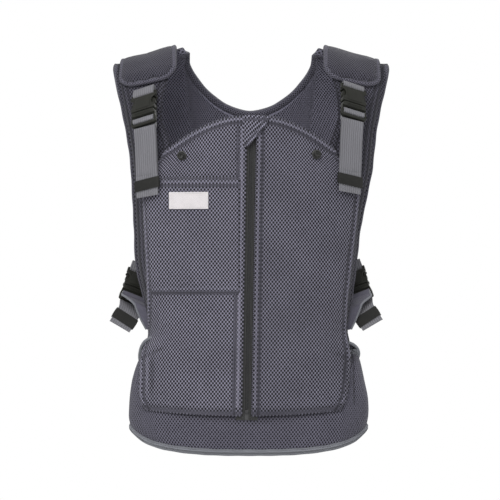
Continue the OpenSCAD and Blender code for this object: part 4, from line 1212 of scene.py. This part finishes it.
for side in (LEFT, RIGHT):
    f = pad_surface(side)

    def rounded(uu, vv, f=f):
        return f(*round_corners(uu, vv, PAD_W, PAD_L, PAD_CORNER))

    g = Grid(f, samples(PAD_W, 8, 1.6, 3.2), samples(PAD_L, 8, 1.6, 3.6))
    ru, rv = round_corners(g.u, g.v, PAD_W, PAD_L, PAD_CORNER)
    e = 0.004
    g.p = f(ru, rv)
    g.n = unit(np.cross(f(np.minimum(ru + e, 1), rv) - f(np.maximum(ru - e, 0), rv),
                        f(ru, np.minimum(rv + e, 1)) - f(ru, np.maximum(rv - e, 0))))
    a, b, low, top = g.edge_gap()
    near = np.minimum(np.minimum(a, b), np.minimum(low, top))
    crown = np.clip(near / 17, 0, 1) ** 0.5
    high = 5.4 + (PAD_TOP - 5.9) * crown - 0.8 * ridge(near, 8.5, 1.8)
    points, faces, uv, _ = slab(g, PAD_LOW, high)
    name = "shoulder_pad_" + NAME[side]
    softer = slab(g, PAD_LOW + 1.2, 5.2 + (PAD_TOP - 7.2) * crown)
    new_p, new_f = blow_up(softer[0], softer[1])
    tree = kdtree.KDTree(len(points))
    for k, p in enumerate(points):
        tree.insert(p, k)
    tree.balance()
    flat_low = g.p.reshape(-1, 3)
    flat_n = g.n.reshape(-1, 3)
    new_uv = np.zeros((len(new_p), 2))
    for k, p in enumerate(new_p):
        found = tree.find_n(p, 4)
        weights = np.array([1 / (d + 0.05) for _, _, d in found])
        new_uv[k] = sum(uv[i] * wt for (_, i, _), wt in zip(found, weights)) / weights.sum()
        first = found[0][1] % len(flat_low) if found[0][1] < 2 * len(flat_low) else None
        if first is not None:
            height_here = float((p - flat_low[first]) @ flat_n[first])
            new_p[k] = p + flat_n[first] * (max(height_here, PAD_LOW - 0.1) - height_here)
    points, faces, uv = new_p, new_f, new_uv
    pad = build(name, [(points, faces, uv)], pad_mesh)
    finer = pad.modifiers.new("finer", "SUBSURF")
    finer.levels = finer.render_levels = 1
    graph = bpy.context.evaluated_depsgraph_get()
    pad.data = bpy.data.meshes.new_from_object(pad.evaluated_get(graph))
    pad.modifiers.clear()
    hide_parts("pad_cover_" + NAME[side], "pad_foam_" + NAME[side])
    # the folded tape round the pad's rim
    rows, cols = g.u.shape
    rim = ([(0, j) for j in range(cols)] + [(i, cols - 1) for i in range(1, rows)]
           + [(rows - 1, j) for j in range(cols - 2, -1, -1)] + [(i, 0) for i in range(rows - 2, 0, -1)])
    ri, rj = np.array(rim).T
    p, n = g.p[ri, rj], g.n[ri, rj]
    middle = p + n * 3.6
    out = unit(np.cross(np.roll(middle, -1, 0) - np.roll(middle, 1, 0), n))
    if np.sum((p - g.p[rows // 2, cols // 2]) * out) < 0:
        out = -out
    path = middle - out * 2.4
    ring = tube(path, n, out, 3.1, 4.2, 16, wrap=True, square=0.7)
    frame_tape = build("pad_rim_" + NAME[side], [ring], rolled_mesh)
    thread_parts.append(stitches(path - out * 2.6 + n * 2.4, n))

# ------------------------------------------------------------------ buckles

WEB_W, WEB_T, BUCKLE_W = 30, 1.5, 36
# Middle of each bar at the left, way down, way across, and how far the right one sits inward and up
BARS = {"shoulder": ((138, -58.6, -36), (0, -0.574, -0.819), (0.89, -0.39, 0.2733), 3.5, 9),
        "side": ((144, 8, -269), (0.236, -0.58, -0.78), (0.93, 0.12, -0.37), 10, 2)}
WEB_LIFT = 5


def buckle_frame(kind, side):
    """Origin and the x, y and z directions: across, towards the wearer and up the strap."""
    bar, down, across, inset, lift = BARS[kind]
    origin = np.array([bar[0] - inset, bar[1], bar[2] + lift] if side > 0 else [-bar[0], bar[1], bar[2]])
    up = -unit([side * down[0], down[1], down[2]])
    inward = unit(np.cross(up, [across[0], -side * across[1], -side * across[2]]))
    return origin, np.cross(inward, up), inward, up


def spot(kind, side, points):
    origin, x, y, z = buckle_frame(kind, side)
    p = np.asarray(points, float)
    return origin + p[..., :1] * x + p[..., 1:2] * y + p[..., 2:3] * z


def plate(outlines, low_y, high_y, bevel=0.7):
    """A flat piece between two depths whose outlines lie in X-Z, with rounded edges and any holes."""
    data = bpy.data.curves.new("outline", "CURVE")
    data.dimensions = "2D"
    data.fill_mode = "BOTH"
    data.extrude = (high_y - low_y) / 2 - bevel
    data.bevel_depth = bevel
    data.offset = -bevel
    data.bevel_resolution = 2
    for outline in outlines:
        spline = data.splines.new("POLY")
        spline.points.add(len(outline) - 1)
        for point, (x, z) in zip(spline.points, outline):
            point.co = (x, z, 0, 1)
        spline.use_cyclic_u = True
    holder = bpy.data.objects.new("outline", data)
    bpy.context.scene.collection.objects.link(holder)
    graph = bpy.context.evaluated_depsgraph_get()
    mesh = bpy.data.meshes.new_from_object(holder.evaluated_get(graph))
    tidy = bmesh.new()
    tidy.from_mesh(mesh)
    bmesh.ops.remove_doubles(tidy, verts=tidy.verts, dist=0.002)
    points = np.array([(v.co.x, (low_y + high_y) / 2 - v.co.z, v.co.y) for v in tidy.verts])
    tidy.verts.index_update()
    faces = [tuple(v.index for v in face.verts) for face in tidy.faces]
    tidy.free()
    bpy.data.objects.remove(holder)
    return points, faces, None


def both(half):
    return half + [(-x, z) for x, z in reversed(half)]


def rounded_outline(points, r=1.2, n=3):
    """An outline with its corners cut round."""
    out = []
    count = len(points)
    for k in range(count):
        p = np.array(points[k], float)
        before, after = np.array(points[k - 1], float), np.array(points[(k + 1) % count], float)
        a, b = before - p, after - p
        cut = min(r, np.linalg.norm(a) * 0.45, np.linalg.norm(b) * 0.45)
        start, end = p + unit(a) * cut, p + unit(b) * cut
        for t in np.linspace(0, 1, n + 1):
            out.append(tuple((1 - t) ** 2 * start + 2 * t * (1 - t) * p + t ** 2 * end))
    return out


def box_outline(x0, x1, z0, z1):
    return [(x0, z0), (x1, z0), (x1, z1), (x0, z1)]


def rod(x0, x1, y, z, r, n=20):
    path = np.stack([np.linspace(x0, x1, 8), np.full(8, y), np.full(8, z)], -1)
    return tube(path, np.tile([0, 1.0, 0], (8, 1)), np.tile([0, 0, 1.0], (8, 1)), r, r, n)


H = BUCKLE_W / 2
FACE = rounded_outline(both([(H - 1.5, -5.2), (H, -7.5), (H - 0.3, -9.5), (H - 4.6, -12), (H - 5.2, -16),
                             (H - 4.4, -20), (H - 0.6, -22.5), (H - 0.9, -26.5), (H - 2.5, -28)]), 1.4)
END_BLOCKS = [box_outline(-H + 0.9, H - 0.9, -8.9, -5.4), box_outline(-H + 1.3, -14.5, -27.6, -21.6),
              box_outline(14.5, H - 1.3, -27.6, -21.6)]


def socket_parts():
    parts = [plate([FACE], -5, -3.2, 0.8), plate([FACE], 3.2, 5, 0.8)]
    parts += [plate([rounded_outline(b, 0.6)], -3.6, 3.6, 0.3) for b in END_BLOCKS]
    parts.append(plate([rounded_outline(box_outline(-10.5, 10.5, -25.2, -8.8), 2)], -5.45, -4.6, 0.35))
    parts.append(plate([rounded_outline(box_outline(-9, 9, -27.2, -26.2), 0.3)], -5.3, -4.6, 0.25))
    for s in (LEFT, RIGHT):
        ear = box_outline(*sorted((s * (H - 3), s * H)), -7, 1.2)
        parts.append(plate([rounded_outline(ear, 0.8)], -1.7, 1.7, 0.5))
    parts.append(rod(-H + 1, H - 1, 0, 0, 1.5))
    return parts


def plug_parts():
    base = rounded_outline(both([(H - 3, -28.5), (H - 1.5, -30), (H - 1, -35.6)]), 1)
    frame_out = rounded_outline(both([(H - 1, -34.8), (H, -40), (H, -48.3), (H - 1.8, -50)]), 1.5)
    frame_hole = rounded_outline(box_outline(-15.6, 15.6, -46.5, -36.2), 1.0)
    parts = [plate([base], -4.5, 4.5, 0.9), plate([frame_out, frame_hole], -2.5, 2.5, 0.6),
             plate([rounded_outline(box_outline(-16.4, 16.4, -43, -39.6), 0.8)], -1.0, 1.0, 0.35),
             plate([rounded_outline(both([(1.3, -11), (2.2, -13), (2.2, -29)]), 0.5)], -2, 2, 0.4)]
    for z in (-31.2, -32.8, -34.4):
        grip = rounded_outline(box_outline(-11, 11, z - 0.45, z + 0.45), 0.3)
        parts.append(plate([grip], -4.85, -4.3, 0.2))
    return parts


ARM = [(7.6, -28), (11.4, -28), (12.8, -21.6), (16.6, -20.3), (17.4, -17), (16.3, -12), (13.6, -9.9),
       (11, -9.9), (9.4, -13)]


def arm_parts(s):
    outline = [(s * x, z) for x, z in ARM]
    parts = [plate([rounded_outline(outline, 1.1)], -2.5, 2.5, 0.6)]
    for z in (-18.6, -17.0, -15.4):
        x = 17.2 if z > -18 else 17.0
        rib = box_outline(*sorted((s * (x - 1.6), s * (x + 0.05))), z - 0.35, z + 0.35)
        parts.append(plate([rounded_outline(rib, 0.2)], -2.7, 2.7, 0.15))
    return parts


SOCKET, PLUG = socket_parts(), plug_parts()
ARMS = {"a": arm_parts(-1), "b": arm_parts(1)}


def placed(parts, kind, side):
    return [(spot(kind, side, p), f, t) for p, f, t in parts]


for kind in ("shoulder", "side"):
    for side in (LEFT, RIGHT):
        tag = kind + "_" + NAME[side]
        piece = build("buckle_socket_" + tag, placed(SOCKET, kind, side), buckle_plastic, sharp=30)
        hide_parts("socket_" + tag)
        piece = build("buckle_plug_" + tag, placed(PLUG, kind, side), buckle_plastic, "plug_" + tag, sharp=30)
        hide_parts("plug_" + tag)
        for letter in "ab":
            piece = build("buckle_arm_" + tag + "_" + letter, placed(ARMS[letter], kind, side),
                          buckle_plastic, "arm_" + tag + "_" + letter, sharp=30)
            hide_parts("arm_" + tag + "_" + letter)

# ------------------------------------------------------------------ webbing


def across_at(kind, side):
    a = BARS[kind][2]
    return unit([a[0], -side * a[1], -side * a[2]])


def web_part(points, first, final, per=6, width=WEB_W, wrinkle=0.0):
    path = smooth_path(points, per)
    share = np.linspace(0, 1, len(path))[:, None]
    return band(path, unit(first) * (1 - share) + unit(final) * share, width, WEB_T, wrinkle)


def loop_part(kind, side, reach):
    r = 1.5 + GAP + WEB_T / 2
    turn = np.linspace(0, math.pi, 13)
    line = [(-1, reach), (-r, reach * 0.4)] + [(-r * math.cos(t), -r * math.sin(t)) for t in turn]
    line += [(r, reach * 0.4), (1, reach)]
    points = spot(kind, side, [(0, y, z) for y, z in line])
    return web_part(points, across_at(kind, side), across_at(kind, side), 2)


LOOPS = {"shoulder": {LEFT: 10, RIGHT: 5}, "side": {LEFT: 13, RIGHT: 13}}
for kind in ("shoulder", "side"):
    loops = build(kind + "_bar_loops", [loop_part(kind, s, LOOPS[kind][s]) for s in (LEFT, RIGHT)], webbing)
    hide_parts(kind + "_loops")

TAIL_LADDER = [(-0.2, -37.8), (-2.3, -39.2), (-2.2, -43.6), (0.6, -44.8), (3.6, -45.8), (3.9, -50.6),
               (1.6, -53.8)]
ANCHOR_LADDER = [(3.4, -41), (6, -45.5), (6.3, -50.5), (5, -55)]
FOLD_GAP, TAIL_LIFT = 2.2, 4.4


def web_at(side, d, lift, z):
    y = float(front_pt(side * 117, z)[1]) - PANEL_OUT / 0.85 - WEB_T - 1 + 5
    return [d - BARS["shoulder"][3] if side > 0 else -d, y - lift, z]


def low_across(side):
    return unit([0.93, side * 0.33, side * -0.15])


def ladder(kind, side, points):
    return [list(p) for p in spot(kind, side, [(0, y, z) for y, z in points])]


SIDE_MID = np.array([164, -36.5, -329])
SIDE_HANG = unit([10.3, -4.5, -16])


def side_across(side):
    return unit([0.84, 0, side * 0.545])


SIDE_FRONT = unit(np.cross(SIDE_HANG, side_across(RIGHT)))


def on_side(side, p):
    return [p[0] - BARS["side"][3], p[1], p[2] + BARS["side"][4]] if side > 0 else [-p[0], p[1], p[2]]


WING_LADDER = [(-4, -39.5), (-4.4, -44), (-5, -47.5)]
WING_ENDS = [((23.5, -33, -300), (0, -37, -312)), ((14, -41.5, -309), (-6, -42, -318)),
             ((11.5, -41.5, -320), (-7, -42, -326)), ((9, -41.5, -331), (-7, -43, -336)),
             ((5, -41.5, -343), (-6, -42.5, -345))]


def strip(left, right, thick, per=6):
    """A strip of cloth between two edges."""
    a, b = smooth_path(left, per), smooth_path(right, per)
    return band((a + b) / 2, b - a, np.linalg.norm(b - a, axis=1), thick)


def elastic_band(middle, down, across, wide, deep, long=14, lean=0.0):
    """A flat elastic ring round a folded tail, with ribs across it."""
    z = -unit(down)
    y = unit(np.cross(z, across))
    x = np.cross(y, z) + z * lean
    n = 44
    turn = np.arange(n) * 2 * math.pi / n
    rows = np.linspace(-long / 2, long / 2, 15)
    c = np.sign(np.cos(turn)) * np.abs(np.cos(turn)) ** 0.25
    s = np.sign(np.sin(turn)) * np.abs(np.sin(turn)) ** 0.35

    def ring(grow, h):
        swell = 0.5 * np.cos(h / long * math.pi)
        return (middle + z * h + x * (c * (wide / 2 + grow + swell))[:, None]
                + y * (s * (deep / 2 + grow + swell))[:, None])

    rings = [ring(0.9 + 0.12 * (-1) ** k, h) for k, h in enumerate(rows)]
    rings += [ring(0.0, h) for h in rows[::-1]]
    perimeter = turn * (wide + deep) / math.pi
    levels = list(rows) + list(rows[::-1])
    uv = np.stack(np.broadcast_arrays(perimeter[None], np.array(levels)[:, None]), -1)
    return np.concatenate(rings), ring_faces(len(rings), n, wrap=True), uv


for side in (LEFT, RIGHT):
    name = NAME[side]
    lift_z = WEB_LIFT if side > 0 else 0
    plug_body = "plug_shoulder_" + name
    anchor_line = ladder("shoulder", side, ANCHOR_LADDER) + [
        web_at(side, 135, 1, -100 + lift_z), web_at(side, 134, 0, -125 + lift_z),
        web_at(side, 133, 0, -158 + lift_z)]
    anchor = build("anchor_web_shoulder_" + name,
                   [web_part(anchor_line, across_at("shoulder", side), low_across(side))], webbing, None)
    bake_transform(anchor)
    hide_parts("anchor_shoulder_" + name)
    tail_line = ladder("shoulder", side, TAIL_LADDER) + [
        web_at(side, 136, TAIL_LIFT + 4, -97 + lift_z), web_at(side, 135, TAIL_LIFT + 1, -125 + lift_z),
        web_at(side, 134, TAIL_LIFT, -148 + lift_z), web_at(side, 133.5, TAIL_LIFT, -166.5 + lift_z),
        web_at(side, 133.5, TAIL_LIFT + FOLD_GAP / 2, -168.3 + lift_z),
        web_at(side, 133.5, TAIL_LIFT + FOLD_GAP, -166.5 + lift_z),
        web_at(side, 134, TAIL_LIFT + FOLD_GAP, -142 + lift_z)]
    tail = build("tail_web_shoulder_" + name,
                 [web_part(tail_line, across_at("shoulder", side), low_across(side))], webbing, plug_body)
    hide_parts("tail_shoulder_" + name)
    z = -153.5 + lift_z
    middle = np.array(web_at(side, 133.8, TAIL_LIFT + FOLD_GAP / 2, z))
    down = np.array(web_at(side, 133.5, TAIL_LIFT, z - 10)) - np.array(web_at(side, 134.1, TAIL_LIFT, z + 10))
    loop = elastic_band(middle, down, low_across(side), WEB_W + 1.6, FOLD_GAP + WEB_T + 1.6, lean=-side * 0.2)
    keeper = build("keeper_band_shoulder_" + name, [loop], elastic, plug_body)
    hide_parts("keeper_shoulder_" + name)

    plug_body = "plug_side_" + name
    fold = [SIDE_MID + p * FOLD_GAP / 2 * SIDE_FRONT + q * SIDE_HANG
            for p, q in ((-1, -10), (-1, 10), (0, 11.5), (1, 10), (1, -9))]
    tail_line = ladder("side", side, TAIL_LADDER) + [on_side(side, p) for p in fold]
    tail = build("tail_web_side_" + name,
                 [web_part(tail_line, across_at("side", side), side_across(side))], webbing, plug_body)
    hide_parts("tail_side_" + name)
    keeper = build("keeper_band_side_" + name, [elastic_band(
        np.array(on_side(side, SIDE_MID)), [side * SIDE_HANG[0], SIDE_HANG[1], SIDE_HANG[2]],
        side_across(side),
        WEB_W + 1, FOLD_GAP + WEB_T + 0.8)], elastic, plug_body)
    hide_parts("keeper_side_" + name)
    half_across = across_at("side", side) * WEB_W / 2
    middle = [spot("side", side, [(0, y, z)])[0] for y, z in WING_LADDER]
    pairs = [(m - half_across, m + half_across) for m in middle]
    for ends in WING_ENDS:
        pair = [(side * (float(half_w(side, z)) + out), y, z) for out, y, z in ends]
        pairs.append(pair if side < 0 else pair[::-1])
    wing = build("side_wing_cloth_" + name, [strip([q[0] for q in pairs], [q[1] for q in pairs], WEB_T)],
                 side_cloth, None)
    free = smooth_path([q[0] if side < 0 else q[1] for q in pairs[1:]], 6)
    ahead = unit(np.gradient(free, axis=0))
    level = unit(np.cross(ahead, np.tile([0, 1.0, 0], (len(free), 1))))
    fold = build("side_wing_fold_" + name, [tube(free, level, np.cross(ahead, level), 1.5, 1.25, 12)],
                 hem_cloth, None)
    for piece in (wing, fold):
        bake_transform(piece)
    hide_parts("side_wing_" + name)

seams = build("seam_stitching", thread_parts, thread)

# ------------------------------------------------------------------ floor

floor_mesh = bpy.data.meshes.new("floor")
floor_mesh.from_pydata([(-6, -6, -0.9), (6, -6, -0.9), (6, 6, -0.9), (-6, 6, -0.9)], [], [(0, 1, 2, 3)])
floor = bpy.data.objects.new("floor", floor_mesh)
bpy.context.scene.collection.objects.link(floor)
floor_look = bpy.data.materials.new("pale_floor")
floor_look.use_nodes = True
fl = Nodes(floor_look.node_tree)
diffuse = floor_look.node_tree.nodes["Principled BSDF"]
diffuse.inputs["Base Color"].default_value = (0.8, 0.8, 0.8, 1)
diffuse.inputs["Roughness"].default_value = 0.9
glow = fl.new("Emission")
glow.inputs[0].default_value = (1, 1, 1, 1)
floor_mix = fl.new("MixShader")
fl.put(floor_mix.inputs[0], seen_white(fl))
fl.put(floor_mix.inputs[1], diffuse.outputs[0])
fl.put(floor_mix.inputs[2], glow.outputs[0])
output = [node for node in floor_look.node_tree.nodes if node.type == "OUTPUT_MATERIAL"][0]
fl.put(output.inputs[0], floor_mix.outputs[0])
floor_mesh.materials.append(floor_look)
